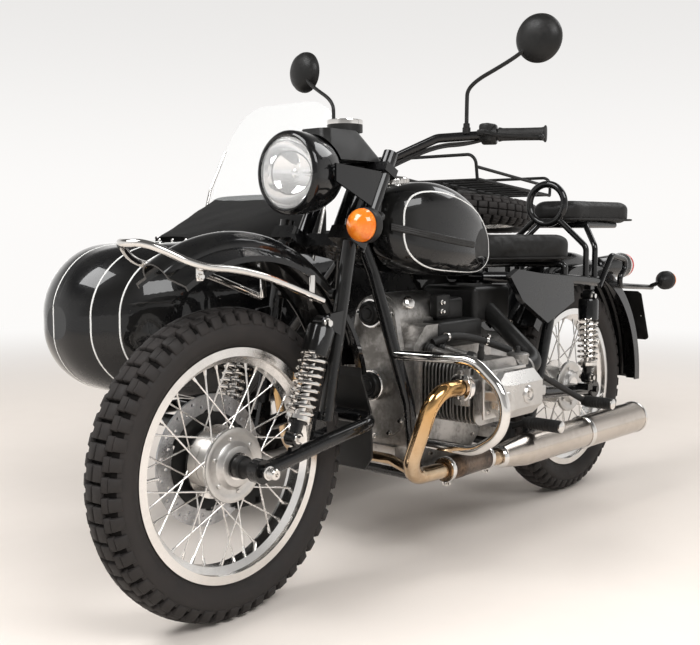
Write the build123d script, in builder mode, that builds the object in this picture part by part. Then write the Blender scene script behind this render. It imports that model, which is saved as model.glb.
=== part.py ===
"""Sidecar motorcycle: a flat twin with a leading-link fork and a boat-shaped sidecar on its right.

The motorcycle's datum has X forward from the rear axle, Y to the left from the plane of its two wheels
and Z up from the floor. keep() moves each piece from there to the part's origin, which lies on the floor
under the middle of the overall box.
"""
import os
from math import asin, cos, degrees, radians, sin

from build123d import *

os.makedirs("parts", exist_ok=True)

# Wheels: 19-inch wire wheels with 4-inch tyres, the spare like the other three
WHEELBASE = 1480
TYRE_R = 342
TYRE_HALF = 53
SIDEWALL_R = 294
SHOULDER_HALF = 41
SHOULDER_R = 330
RIM_SEAT_R = 241.3
RIM_FLANGE_R = 256
RIM_HALF = 36
RIM_WALL = 4
WELL_R = 222
WELL_HALF = 14
HUB_FLANGE_R = 82
HUB_BARREL_R = 58
HUB_LEFT = 44
HUB_RIGHT = 50
SPOKE_R = 2
SPOKE_SWING = 35
AXLE_R = 10
RUNNING = 0.05
SKIN_GAP = 0.3
DISC_R = 147
DISC_T = 5

# Steering: the axis leans back from the floor at its foot, the legs stand ahead of it
RAKE = 28
STEER_FOOT = 1540
HEAD_LOW = 930
HEAD_HIGH = 1085
HEAD_R = 28
STEM_R = 13
YOKE_GAP = 10
LOWER_YOKE_T = 32
UPPER_YOKE_T = 22
STANCHION_Y = 95
STANCHION_LEAD = 30
STANCHION_R = 18
LEG_Y = 105
LEG_R = 17
LINK_Y = 115
LINK_R = 17
LAMP_X = 1268
LAMP_Z = 978
LAMP_R = 96
BAR_R = 11

# Motorcycle body
CYLINDER_X = 840
CYLINDER_Z = 455
CASE_HALF = 118
HEAD_FACE = 302
COVER_FACE = 380
SEAT_TUBE_Y = 140
TUBE_R = 16

# Sidecar: its wheel runs ahead of the rear axle, its body stands between that wheel and the engine
TRACK = 1140
LEAD = 240
SIDECAR_Y = -690
BODY_WALL = 8
LID_GAP = 5
SPARE_X = -336
SPARE_Z = 919
SPARE_TILT = 4.9
DECK_UP = 106
RACK_FRONT = 184
RACK_BACK = -344
RACK_RISE = 72
RACK_HALF = 240
WIRE_R = 6

FRONT_AXLE = Vector(WHEELBASE, 0, TYRE_R)
REAR_AXLE = Vector(0, 0, TYRE_R)
SIDECAR_AXLE = Vector(LEAD, -TRACK, TYRE_R)
MIRROR_Y = 379
MIRROR_R = 58
AXLE_END = 75

# The overall box, from the front tyre to the rack and from the left mirror to the sidecar axle
rack_along = (RACK_BACK - WIRE_R) * cos(radians(SPARE_TILT))
rack_lean = (DECK_UP + RACK_RISE) * sin(radians(SPARE_TILT))
MID_X = (WHEELBASE + TYRE_R + SPARE_X + rack_along - rack_lean) / 2
MID_Y = (MIRROR_Y + MIRROR_R - TRACK - AXLE_END) / 2

SIDES = (1, -1)


def keep(builder, node):
    """Move a finished piece to the part's origin and write it."""
    piece = builder.part.moved(Location((-MID_X, -MID_Y, 0)))
    piece.label = node
    export_step(piece, f"parts/{node}.step")


def tube(points, radius, bend=0):
    """A round bar along straight runs, with arcs of the given radius between them."""
    with BuildPart() as bar:
        with BuildLine() as path:
            if len(points) == 2:
                Line(*points)
            else:
                FilletPolyline(*points, radius=bend)
        with BuildSketch(Plane(origin=path.line @ 0, z_dir=path.line % 0)):
            Circle(radius)
        sweep()
    return bar.part


def plate(plane, outline, thickness):
    """A flat plate of the given corners, its thickness shared between both sides of the plane."""
    with BuildPart() as slab:
        with BuildSketch(plane):
            Polygon(*outline, align=None)
        extrude(amount=thickness / 2, both=True)
    return slab.part


def block(low, high):
    """An upright box between two opposite corners."""
    with BuildPart() as box:
        with Locations((Vector(*low) + Vector(*high)) / 2):
            Box(*(abs(b - a) for a, b in zip(low, high)))
    return box.part


def spun(origin, axis, profile):
    """A turned piece: the profile's columns are distance along the axis and radius."""
    plane = Plane(origin=origin, x_dir=axis, z_dir=Vector(*axis).cross(Vector(0, 0.6, 0.8)))
    with BuildPart() as turned:
        with BuildSketch(plane):
            Polygon(*profile, align=None)
        revolve(axis=Axis(origin, axis))
    return turned.part


def on_steering(length, forward=0, y=0):
    """A point at a length up the steering axis from the floor, and so far ahead of it."""
    lean = radians(RAKE)
    x = STEER_FOOT - length * sin(lean) + forward * cos(lean)
    return Vector(x, y, length * cos(lean) + forward * sin(lean))


def flip(points, side):
    """The same run of points on the left (1) or on the right (-1)."""
    return [Vector(x, side * y, z) for x, y, z in points]


def guard(centre, radius, half, drop, lip, sheet, start, span):
    """A mudguard from the start angle, measured up from forward: round crown, flat flanges, lips."""
    lean = radians(start)
    plane = Plane(origin=centre, x_dir=(0, 1, 0), z_dir=(sin(lean), 0, -cos(lean)))
    edge = radius - drop
    crown = 0.48 * half
    root = radius - 0.9 * crown
    with BuildPart() as channel:
        with BuildSketch(plane):
            with BuildLine():
                Polyline((-crown, root), (-half, edge), (-half, edge - lip), (sheet - half, edge - lip),
                         (sheet - half, edge - sheet), (sheet - crown, root - sheet))
                ThreePointArc((sheet - crown, root - sheet), (0, radius - sheet),
                              (crown - sheet, root - sheet))
                Polyline((crown - sheet, root - sheet), (half - sheet, edge - sheet),
                         (half - sheet, edge - lip),
                         (half, edge - lip), (half, edge), (crown, root))
                ThreePointArc((crown, root), (0, radius), (-crown, root))
            make_face()
        revolve(axis=Axis(centre, (0, -1, 0)), revolution_arc=span)
    return channel.part


def shock(low, high, cover_r, coil_r, coils):
    """A spring strut between two eyes: damper, coils drawn as rings, and a cover at the top."""
    run = Vector(*high) - Vector(*low)
    length = run.length
    plane = Plane(origin=low, z_dir=run)
    spring_low = 0.2 * length
    spring_high = 0.72 * length
    pitch = (spring_high - spring_low) / coils
    with BuildPart() as strut:
        with BuildSketch(plane):
            Circle(coil_r * 0.62)
        extrude(amount=length)
        with BuildSketch(plane.offset(spring_high)):
            Circle(cover_r)
        extrude(amount=0.2 * length)
        with BuildSketch(plane.offset(spring_low - 10)):
            Circle(cover_r)
        extrude(amount=10)
        for ring in range(coils):
            with BuildSketch(plane.offset(spring_low + ring * pitch + 0.25 * pitch)):
                Circle(coil_r)
            extrude(amount=0.5 * pitch)
        for end in (low, high):
            with BuildSketch(Plane(origin=end, z_dir=(0, 1, 0))):
                Circle(coil_r * 0.7)
            extrude(amount=coil_r * 0.62, both=True)
    return strut.part


# Wheels

with BuildPart() as tyre:
    bead = RIM_HALF - RIM_WALL
    foot = RIM_FLANGE_R + 1
    with BuildSketch(Plane.YZ):
        with BuildLine():
            Polyline((-bead, foot), (-bead, RIM_SEAT_R), (bead, RIM_SEAT_R), (bead, foot))
            ThreePointArc((bead, foot), (TYRE_HALF, SIDEWALL_R), (SHOULDER_HALF, SHOULDER_R))
            ThreePointArc((SHOULDER_HALF, SHOULDER_R), (0, TYRE_R), (-SHOULDER_HALF, SHOULDER_R))
            ThreePointArc((-SHOULDER_HALF, SHOULDER_R), (-TYRE_HALF, SIDEWALL_R), (-bead, foot))
        make_face()
    revolve(axis=Axis.Y)

spokes = []
for flange_y, rim_y, turn in ((25, 5, 0), (-31, -5, 20)):
    for hole in range(18):
        swing = SPOKE_SWING if hole % 2 == 0 else -SPOKE_SWING
        a = radians(20 * hole + turn)
        b = radians(20 * hole + turn + swing)
        inner_r = HUB_FLANGE_R - 8
        outer_r = WELL_R + 3
        start = Vector(inner_r * cos(a), flange_y, inner_r * sin(a))
        end = Vector(outer_r * cos(b), rim_y, outer_r * sin(b))
        spokes.append(tube([start, end], SPOKE_R))

with BuildPart() as wire_wheel:
    bead = RIM_HALF - RIM_WALL
    rim_edge = RIM_SEAT_R - RIM_WALL
    step = WELL_HALF + 8
    bore = AXLE_R + RUNNING
    with BuildSketch(Plane.YZ):
        Polygon(
            (-RIM_HALF, RIM_FLANGE_R), (-bead, RIM_FLANGE_R), (-bead, RIM_SEAT_R),
            (bead, RIM_SEAT_R), (bead, RIM_FLANGE_R), (RIM_HALF, RIM_FLANGE_R),
            (RIM_HALF, rim_edge), (step, rim_edge), (WELL_HALF, WELL_R),
            (-WELL_HALF, WELL_R), (-step, rim_edge), (-RIM_HALF, rim_edge),
            align=None,
        )
        Polygon(
            (-HUB_RIGHT, bore), (-HUB_RIGHT, 45), (-34, 45), (-34, HUB_FLANGE_R), (-28, HUB_FLANGE_R),
            (-28, HUB_BARREL_R), (22, HUB_BARREL_R), (22, HUB_FLANGE_R), (28, HUB_FLANGE_R),
            (28, 40), (HUB_LEFT, 34), (HUB_LEFT, bore),
            align=None,
        )
    revolve(axis=Axis.Y)
    add(spokes)

SPARE_PLACE = Location((SPARE_X, SIDECAR_Y, SPARE_Z), (0, -SPARE_TILT, 0)) * Location((0, 0, 0), (90, 0, 0))
wheel_places = {
    "front": Location(FRONT_AXLE),
    "rear": Location(REAR_AXLE),
    "sidecar": Location(SIDECAR_AXLE),
    "spare": SPARE_PLACE,
}
for name, place in wheel_places.items():
    for kind, pattern in (("tyre", tyre), ("wheel", wire_wheel)):
        with BuildPart() as copy:
            with Locations(place):
                add(pattern.part)
        keep(copy, f"{name}_{kind}")

with BuildPart() as brake_disc:
    with BuildSketch(Plane(origin=FRONT_AXLE - Vector(0, HUB_RIGHT, 0), z_dir=(0, -1, 0))):
        Circle(DISC_R)
        Circle(AXLE_R + 4, mode=Mode.SUBTRACT)
        with PolarLocations(84, 6):
            SlotOverall(62, 42, mode=Mode.SUBTRACT)
        with PolarLocations(136, 18):
            Circle(4, mode=Mode.SUBTRACT)
        with PolarLocations(122, 18, start_angle=10):
            Circle(4, mode=Mode.SUBTRACT)
    extrude(amount=DISC_T)
keep(brake_disc, "brake_disc")

# Steering

LEG_TOP = Vector(1176, LEG_Y, 872)
LEG_FOOT = Vector(1280, LEG_Y, 374)
LEG_SHARE = 0.91
LINK_BACK = 1100
SHOCK_TOP = Vector(1290, LINK_Y, 643)
SHOCK_LOW = Vector(1384, LINK_Y, 398)

lower_yoke_top = HEAD_LOW - YOKE_GAP
upper_yoke_low = HEAD_HIGH + YOKE_GAP
across_steering = Plane(origin=on_steering(lower_yoke_top), x_dir=(0, 1, 0),
                        z_dir=on_steering(-1) - on_steering(0))
upper_yoke_plane = Plane(origin=on_steering(upper_yoke_low), x_dir=(0, 1, 0),
                         z_dir=on_steering(1) - on_steering(0))
with BuildPart() as yokes:
    with BuildSketch(across_steering):
        Polygon((-126, 40), (-26, -10), (-18, -24), (18, -24), (26, -10), (126, 40),
                (126, 102), (60, 102), (60, 60), (-60, 60), (-60, 102), (-126, 102), align=None)
    extrude(amount=LOWER_YOKE_T)
    with BuildSketch(upper_yoke_plane):
        Polygon((-116, -52), (116, -52), (116, -8), (26, 18), (-26, 18), (-116, -8), align=None)
    extrude(amount=UPPER_YOKE_T)
fork_pieces = [yokes.part]
fork_pieces.append(tube([on_steering(lower_yoke_top - 10), on_steering(upper_yoke_low + 10)], STEM_R))
for side in SIDES:
    foot_of_stanchion = on_steering(lower_yoke_top - LOWER_YOKE_T, STANCHION_LEAD, side * STANCHION_Y)
    top_of_stanchion = on_steering(upper_yoke_low + 58, STANCHION_LEAD, side * STANCHION_Y)
    fork_pieces.append(tube([foot_of_stanchion, top_of_stanchion], STANCHION_R))
    leg_end = LEG_TOP + (LEG_FOOT - LEG_TOP) * LEG_SHARE
    fork_pieces.append(tube(flip([LEG_TOP, leg_end], side), LEG_R))
    lug_plane = Plane(origin=(0, side * (LINK_Y - LINK_R - 7), 0), x_dir=(1, 0, 0), z_dir=(0, -1, 0))
    fork_pieces.append(plate(lug_plane, [(1256, 440), (1286, 440), (1304, 372), (1280, 350), (1256, 372)],
                             11))
    shock_plane = Plane(origin=(0, side * LINK_Y, 0), x_dir=(1, 0, 0), z_dir=(0, -1, 0))
    fork_pieces.append(plate(shock_plane, [(1212, 668), (1226, 606), (1270.5, 628), (1270.5, 662)], 12))
    ear_plane = Plane(origin=(0, side * (LAMP_R + 6), 0), x_dir=(1, 0, 0), z_dir=(0, -1, 0))
    fork_pieces.append(plate(ear_plane, [(1075, 890), (1110, 905), (1232, 958), (1232, 998), (1060, 985)],
                             6))
    fork_pieces.append(block((978, side * 20, 976), (1012, side * 46, 1006.5)))
with BuildPart() as fork:
    add(fork_pieces)
keep(fork, "fork")

link_path = [
    (WHEELBASE, LINK_Y, TYRE_R), (LEG_FOOT.X, LINK_Y, LEG_FOOT.Z), (LINK_BACK, LINK_Y, 398),
    (LINK_BACK, -LINK_Y, 398), (LEG_FOOT.X, -LINK_Y, LEG_FOOT.Z), (WHEELBASE, -LINK_Y, TYRE_R),
]
link_pieces = [tube(link_path, LINK_R, 52)]
link_pieces.append(tube([FRONT_AXLE + Vector(0, 128, 0), FRONT_AXLE - Vector(0, 128, 0)], AXLE_R))
for side in SIDES:
    link_pieces.append(tube(flip([(WHEELBASE, 96, TYRE_R), (WHEELBASE, 122, TYRE_R)], side), 26))
    link_pieces.append(block((1372, side * 109, 350), (1396, side * 121, SHOCK_LOW.Z - 19.5)))
    link_pieces.append(tube(flip([(LEG_FOOT.X, LINK_Y - LINK_R - 1.2, LEG_FOOT.Z),
                                  (LEG_FOOT.X, LINK_Y, LEG_FOOT.Z)], side), 20))
with BuildPart() as leading_link:
    add(link_pieces)
keep(leading_link, "leading_link")

with BuildPart() as front_shocks:
    add([shock(*flip([SHOCK_LOW, SHOCK_TOP], side), 30, 27, 8) for side in SIDES])
keep(front_shocks, "front_shocks")

with BuildPart() as brake_caliper:
    with Locations((1376, -66, 262)):
        Box(78, 64, 92)
    fillet(brake_caliper.edges().filter_by(Axis.Y), 14)
    with Locations(FRONT_AXLE - Vector(0, HUB_RIGHT + DISC_T / 2, 0)):
        Cylinder(DISC_R + 6, DISC_T + 6, rotation=(90, 0, 0), mode=Mode.SUBTRACT)
    add(block((1345, LINK_R - LINK_Y, 290), (1400, -80, 362)))
keep(brake_caliper, "brake_caliper")

FENDER_HALF = 80
FENDER_R = 416
FENDER_CENTRE = Vector(1452, 0, 430)
FENDER_FRONT = 57.5
FENDER_END = 168
with BuildPart() as front_fender:
    add(guard(FENDER_CENTRE, FENDER_R, FENDER_HALF, 52, 12, 4, FENDER_FRONT, FENDER_END - FENDER_FRONT))
    for side in SIDES:
        add(tube(flip([(1214, FENDER_HALF - 3, 700), (1214, LEG_Y - LEG_R - SKIN_GAP, 700)], side), 14))
keep(front_fender, "front_fender")

with BuildPart() as front_mudflap:
    flap_half = FENDER_HALF - 4 - SKIN_GAP
    with BuildSketch(Plane(origin=(0, 0, 0), x_dir=(1, 0, 0), z_dir=(0, -1, 0))):
        Polygon((1113, 520), (1113, 498), (1077, 408), (1071, 262),
                (1065, 262), (1071, 409), (1107, 500), (1107, 520), align=None)
    extrude(amount=flap_half, both=True)
    with BuildSketch(Plane(origin=(1000, 0, 0), x_dir=(0, 1, 0), z_dir=(1, 0, 0))):
        Polygon((-flap_half, 530), (flap_half, 530), (flap_half, 295), (flap_half - 28, 255),
                (28 - flap_half, 255), (-flap_half, 295), align=None)
    extrude(amount=200, mode=Mode.INTERSECT)
keep(front_mudflap, "front_mudflap")

RAIL_R = 8
RAIL_END = (1275, 100, 692)
rail_half = [RAIL_END, (1440, 98, 756), (1616, 95, 777), (1736, 15, 820)]
with BuildPart() as fender_rail:
    add(tube(flip(rail_half, 1) + flip(rail_half[::-1], -1), RAIL_R, 24))
    for x, low, high, rail_z in ((1612, 746, 782, 776), (1284, 690, 748, 695)):
        for side in SIDES:
            face = FENDER_HALF + SKIN_GAP
            add(block((x - 9, side * face, low), (x + 9, side * (face + 5), high)))
            add(tube(flip([(x, face + 3, rail_z), (x, 97, rail_z)], side), 6))
keep(fender_rail, "fender_rail")


def lamp_bowl(skin):
    """The headlamp's shell, drawn larger by a skin for the cowl that stands on it."""
    front = LAMP_X - 20
    with BuildPart() as bowl:
        with BuildSketch(Plane.XZ):
            with BuildLine():
                Polyline((front, LAMP_Z), (LAMP_X + 12, LAMP_Z), (LAMP_X + 12, LAMP_Z + 82 + skin),
                         (LAMP_X + 20, LAMP_Z + 86 + skin),
                         (LAMP_X + 20, LAMP_Z + 92 + skin), (LAMP_X + 6, LAMP_Z + LAMP_R + skin),
                         (front, LAMP_Z + LAMP_R + skin))
                ThreePointArc((front, LAMP_Z + LAMP_R + skin),
                              (front - 84 - 0.7 * skin, LAMP_Z + 0.7 * (LAMP_R + skin)),
                              (front - 118 - skin, LAMP_Z))
                Line((front - 118 - skin, LAMP_Z), (front, LAMP_Z))
            make_face()
        revolve(axis=Axis((0, 0, LAMP_Z), (1, 0, 0)))
    return bowl.part


with BuildPart() as headlamp:
    add(lamp_bowl(0))
    add(tube([(LAMP_X - 50, -LAMP_R - 3, LAMP_Z), (LAMP_X - 50, LAMP_R + 3, LAMP_Z)], 14))
keep(headlamp, "headlamp")

LENS_R = 82 - SKIN_GAP
LENS_DOME = 194
with BuildPart() as headlamp_lens:
    with BuildSketch(Plane(origin=(LAMP_X, 0, LAMP_Z), x_dir=(1, 0, 0), z_dir=(0, -1, 0))):
        with BuildLine():
            dome = CenterArc((36 - LENS_DOME, 0), LENS_DOME, 0, degrees(asin(LENS_R / LENS_DOME)))
            Polyline(dome @ 1, (12, LENS_R), (12, 0), dome @ 0)
        make_face()
    revolve(axis=Axis((LAMP_X, 0, LAMP_Z), (1, 0, 0)))
keep(headlamp_lens, "headlamp_lens")

with BuildPart() as instrument_pod:
    for x, z, length, width in ((1124, 1011, 212, 148), (1138, 1084, 124, 84)):
        with BuildSketch(Plane(origin=(x, 0, z))):
            RectangleRounded(length, width, 20)
    loft()
    with Locations((1084, 0, 1097)):
        Cylinder(43, 28)
    add(lamp_bowl(SKIN_GAP), mode=Mode.SUBTRACT)
keep(instrument_pod, "instrument_pod")

bar_half = [(984, 0, 1018), (984, 52, 1018), (914, 150, 1072), (853, 264, 1078), (796, 381, 1077)]
bar_run = flip(bar_half[:0:-1], 1) + flip(bar_half[1:], -1)
with BuildPart() as handlebar:
    add(tube(bar_run, BAR_R, 38))
keep(handlebar, "handlebar")

grip_dir = (Vector(*bar_half[4]) - Vector(*bar_half[3])).normalized()
grip_end = Vector(*bar_half[4])
with BuildPart() as hand_controls:
    for side in SIDES:
        outward = Vector(grip_dir.X, side * grip_dir.Y, grip_dir.Z)
        end = Vector(grip_end.X, side * grip_end.Y, grip_end.Z)
        grip_plane = Plane(origin=end + outward * 4, z_dir=-outward)
        with BuildSketch(grip_plane):
            Circle(17)
        extrude(amount=122)
        with BuildSketch(grip_plane.offset(118)):
            Circle(24)
        extrude(amount=34)
        lever = [end - outward * 128 + Vector(20, 0, 4), end - outward * 116 + Vector(58, 0, -2),
                 end + outward * 16 + Vector(50, 0, -12)]
        add(tube(lever, 5, 24))
        with Locations(lever[-1]):
            Sphere(8)
    add(tube(bar_run, BAR_R + RUNNING, 38), mode=Mode.SUBTRACT)
keep(hand_controls, "hand_controls")

with BuildPart() as mirrors:
    for side in SIDES:
        stem = flip([(884, 216, 1087), (884, 216, 1188), (846, MIRROR_Y - 28, 1268)], side)
        add(tube(stem, 5, 24))
        with BuildSketch(Plane(origin=(838, side * MIRROR_Y, 1296), z_dir=(-1, side * -0.12, 0))):
            Circle(MIRROR_R - 1)
        extrude(amount=18, both=True)
keep(mirrors, "mirrors")

SIGNAL_R = 40
with BuildPart() as front_signal:
    stalk_root = on_steering(985, STANCHION_LEAD, STANCHION_Y + STANCHION_R + SKIN_GAP)
    lamp_centre = Vector(1214, 166, 859)
    lamp_outline = [(32, 0), (28, 16), (16, 30), (0, SIGNAL_R - 2), (-4, SIGNAL_R), (-24, SIGNAL_R), (-48, 16),
                    (-52, 0)]
    add(spun(lamp_centre, (1, 0, 0), lamp_outline))
    add(tube([stalk_root, stalk_root + Vector(0, 34, 0), lamp_centre - Vector(30, 0, 0)], 8, 14))
keep(front_signal, "front_signal")

# Frame and drive train

head_low = on_steering(HEAD_LOW)
head_high = on_steering(HEAD_HIGH)
RAIL_Z = 236
SWING_PIVOT = Vector(408, 0, 372)
STRUT_X = 86
STRUT_Y = 136
STRUT_TOP = 648
FRAME_ROWS = (
    # run of tube points on the left side, bend
    ([(1070, 20, 862), (1040, 52, 745), (992, 128, 420), (968, 132, RAIL_Z), (455, 132, RAIL_Z),
      (392, SEAT_TUBE_Y, 420), (300, SEAT_TUBE_Y, 708)], 60),
    ([(560, 50, 718), (430, SEAT_TUBE_Y, 716), (40, SEAT_TUBE_Y, 690)], 50),
)
CROSS_ROWS = (
    # x, z, half length
    (560, 722, 60), (952, RAIL_Z, 132), (478, RAIL_Z, 132), (SWING_PIVOT.X, SWING_PIVOT.Z, SEAT_TUBE_Y),
)


def frame_tubes(skin):
    """The frame's tubes, drawn thicker by a skin when other pieces are coped to them."""
    runs = [tube([head_low, head_high], HEAD_R + skin)]
    runs.append(tube([on_steering(985), (610, 0, 770), (550, 0, 722)], 22 + skin, 30))
    for run, bend in FRAME_ROWS:
        for side in SIDES:
            runs.append(tube(flip(run, side), TUBE_R + skin, bend))
    for x, z, half in CROSS_ROWS:
        runs.append(tube([(x, -half, z), (x, half, z)], 13 + skin))
    return runs


with BuildPart() as near_frame:
    add(frame_tubes(SKIN_GAP))

with BuildPart() as frame:
    add(frame_tubes(0))
    for side in SIDES:
        add(block((STRUT_X - 12, side * 126, STRUT_TOP + 19.5), (STRUT_X + 12, side * 148, 694)))
    with BuildSketch(Plane(origin=on_steering(HEAD_LOW - 40), z_dir=head_high - head_low)):
        Circle(STEM_R + RUNNING)
    extrude(amount=300, mode=Mode.SUBTRACT)
keep(frame, "frame")

# The engine's two feet stand on the frame's cross tubes
CROSS_TOP = RAIL_Z + 13 + SKIN_GAP
with BuildPart() as crankcase:
    side_plane = Plane(origin=(0, 0, 0), x_dir=(1, 0, 0), z_dir=(0, -1, 0))
    with BuildSketch(side_plane):
        Polygon((655, 300), (700, 262), (935, 262), (950, 300), (950, 560), (900, 610), (700, 610),
                (655, 540), align=None)
    extrude(amount=CASE_HALF - 8, both=True)
    fillet(crankcase.edges().filter_by(Axis.Y), 18)
    for side in SIDES:
        with BuildSketch(Plane(origin=(CYLINDER_X, side * (CASE_HALF - 20), CYLINDER_Z), x_dir=(1, 0, 0),
                               z_dir=(0, side, 0))):
            RectangleRounded(170, 170, 30)
        extrude(amount=20)
    front_face = Plane(origin=(950, 0, 0), x_dir=(0, 1, 0), z_dir=(1, 0, 0))
    with BuildSketch(front_face):
        with Locations((0, 420)):
            Circle(104)
        with Locations((0, 620)):
            Circle(66)
        make_hull()
    extrude(amount=18)
    with BuildSketch(front_face.offset(18)):
        with Locations((0, 457)):
            Circle(40)
        with Locations((0, 640)):
            Circle(38)
    extrude(amount=16)
    with BuildSketch(Plane.YZ.offset(780)):
        with Locations((0, 628)):
            Circle(62)
    extrude(amount=171)
    add(block((705, -100, 238), (925, 100, 270)))
    add(block((932, -60, CROSS_TOP), (960, 60, 300)))
keep(crankcase, "crankcase")

with BuildPart() as gearbox:
    with BuildSketch(Plane.YZ.offset(655)):
        with Locations((0, 440)):
            RectangleRounded(214, 300, 60)
    extrude(amount=-60)
    with BuildSketch(Plane.YZ.offset(595)):
        with Locations((0, 430)):
            RectangleRounded(190, 250, 60)
    extrude(amount=-165)
    with Locations((SWING_PIVOT.X, 0, SWING_PIVOT.Z)):
        Cylinder(22, 400, rotation=(90, 0, 0), mode=Mode.SUBTRACT)
    add(block((465, -50, CROSS_TOP), (491, 50, 330)))
keep(gearbox, "gearbox")

BARREL_R = 60
with BuildPart() as cylinders:
    for side in SIDES:
        base = Plane(origin=(CYLINDER_X, side * CASE_HALF, CYLINDER_Z), x_dir=(1, 0, 0), z_dir=(0, side, 0))
        with BuildSketch(base):
            Circle(BARREL_R)
        extrude(amount=100)
        for fin in range(8):
            with BuildSketch(base.offset(8 + 11 * fin)):
                RectangleRounded(172, 160, 34)
            extrude(amount=4)
        with BuildSketch(base.offset(96)):
            RectangleRounded(150, 118, 30)
        extrude(amount=HEAD_FACE - CASE_HALF - 96)
        for fin in range(6):
            with BuildSketch(base.offset(100 + 12 * fin)):
                RectangleRounded(190, 156, 30)
            extrude(amount=4)
        for x in (6, 58):
            add(tube(flip([(CYLINDER_X + x, CASE_HALF - 5, CYLINDER_Z + 98),
                           (CYLINDER_X + x - 22, 222, CYLINDER_Z + 71)], side), 9))
        add(tube(flip([(CYLINDER_X + 60, 258, 474), (CYLINDER_X + 108, 258, 474)], side), 30))
        add(tube(flip([(CYLINDER_X - 60, 254, 490), (CYLINDER_X - 112, 254, 490)], side), 26))
keep(cylinders, "cylinders")

with BuildPart() as valve_covers:
    for side in SIDES:
        with BuildSketch(Plane(origin=(CYLINDER_X, side * HEAD_FACE, CYLINDER_Z), x_dir=(1, 0, 0),
                               z_dir=(0, side, 0))):
            Rectangle(186, 112)
            chamfer(vertices(), 27)
        extrude(amount=COVER_FACE - HEAD_FACE - 8, taper=9)
        with BuildSketch(Plane(origin=(CYLINDER_X, side * (COVER_FACE - 24), CYLINDER_Z), x_dir=(1, 0, 0),
                               z_dir=(0, side, 0))):
            Circle(20)
        extrude(amount=24)
keep(valve_covers, "valve_covers")

with BuildPart() as intake:
    with Locations((560, 0, 646)):
        Box(180, 180, 100)
    fillet(intake.edges(), 14)
    for side in SIDES:
        root = CYLINDER_X - 112
        add(tube(flip([(root, 254, 490), (root - 66, 254, 490)], side), 30))
        add(tube(flip([(root - 33, 254, 446), (root - 33, 254, 528)], side), 27))
        add(tube(flip([(root - 60, 254, 490), (600, 254, 500), (575, 80, 630)], side), 24, 44))
keep(intake, "intake")

HEADER_R = 20
MUFFLER_FRONT = Vector(690, 192, 248)
MUFFLER_END = Vector(-70, 222, 254)
header_root = CYLINDER_X + 108
with BuildPart() as exhaust_headers:
    for side in SIDES:
        run = [(header_root, 258, 474), (1062, 258, 474), (1082, 188, 262),
               (MUFFLER_FRONT.X + 1.5, 192, 248)]
        add(tube(flip(run, side), HEADER_R, 58))
        with BuildSketch(Plane(origin=(930, side * 189, 257), z_dir=(-1, 0, 0))):
            Circle(29)
        extrude(amount=190)
    add(tube([(1040, 190, 268), (1030, 100, 288), (1030, -100, 288), (1040, -190, 268)], 13, 40))
keep(exhaust_headers, "exhaust_headers")

with BuildPart() as mufflers:
    for side in SIDES:
        start, end = flip([MUFFLER_FRONT, MUFFLER_END], side)
        run = end - start
        along = (0, 0.02, 0.16, 0.56, 0.58, 1)
        radii = (22, 30, 44, 44, 48, 48)
        outline = [(0, 0)] + [(share * run.length, r) for share, r in zip(along, radii)]
        outline += [(run.length, 40), (run.length - 60, 40), (run.length - 60, 0)]
        add(spun(start, run.normalized(), outline))
        hook = start + run * 0.62
        add(block((hook.X - 14, side * 150, hook.Z - 8), (hook.X + 14, side * 185, hook.Z + 8)))
keep(mufflers, "mufflers")

with BuildPart() as crash_bar:
    loop = [(1014, 104, 545), (985, 312, 547), (985, 462, 424), (985, 318, 332), (980, 138, 330)]
    add(tube(loop, 13, 90))
    add(near_frame.part, mode=Mode.SUBTRACT)
keep(crash_bar, "crash_bar")

# Tank, saddles and tail

TANK_ROWS = (
    # x, half width, low, high, corner
    (1012, 66, 806, 912, 46),
    (955, 124, 756, 958, 62),
    (840, 152, 734, 968, 70),
    (690, 138, 728, 918, 66),
    (588, 92, 742, 832, 42),
)
with BuildPart() as fuel_tank:
    for x, half, low, high, corner in TANK_ROWS:
        with BuildSketch(Plane(origin=(x, 0, (low + high) / 2), x_dir=(0, 1, 0), z_dir=(1, 0, 0))):
            RectangleRounded(2 * half, high - low, corner)
    loft()
    with BuildSketch(Plane(origin=(0, 0, 0), x_dir=(1, 0, 0), z_dir=(0, -1, 0))):
        Polygon((540, 700), (540, 777.9), (620, 795), (1020, 880.3), (1040, 884.5), (1040, 700), align=None)
    extrude(amount=30, both=True, mode=Mode.SUBTRACT)
    with Locations((900, 0, 968)):
        Cylinder(36, 24)
keep(fuel_tank, "fuel_tank")

with BuildPart() as rider_saddle:
    with BuildSketch(Plane.XY.offset(760)):
        with Locations((225, 72), (225, -72)):
            Circle(66)
        with Locations((455, 0)):
            Circle(44)
        make_hull()
    extrude(amount=74)
    fillet(rider_saddle.edges().group_by(Axis.Z)[-1], 24)
keep(rider_saddle, "rider_saddle")

with BuildPart() as passenger_saddle:
    with BuildSketch(Plane.XY.offset(879 + SKIN_GAP)):
        with Locations((-205, 58), (-205, -58)):
            Circle(66)
        with Locations((46, 28), (46, -28)):
            Circle(58)
        make_hull()
    extrude(amount=62)
    fillet(passenger_saddle.edges().group_by(Axis.Z)[-1], 20)
keep(passenger_saddle, "passenger_saddle")

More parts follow.
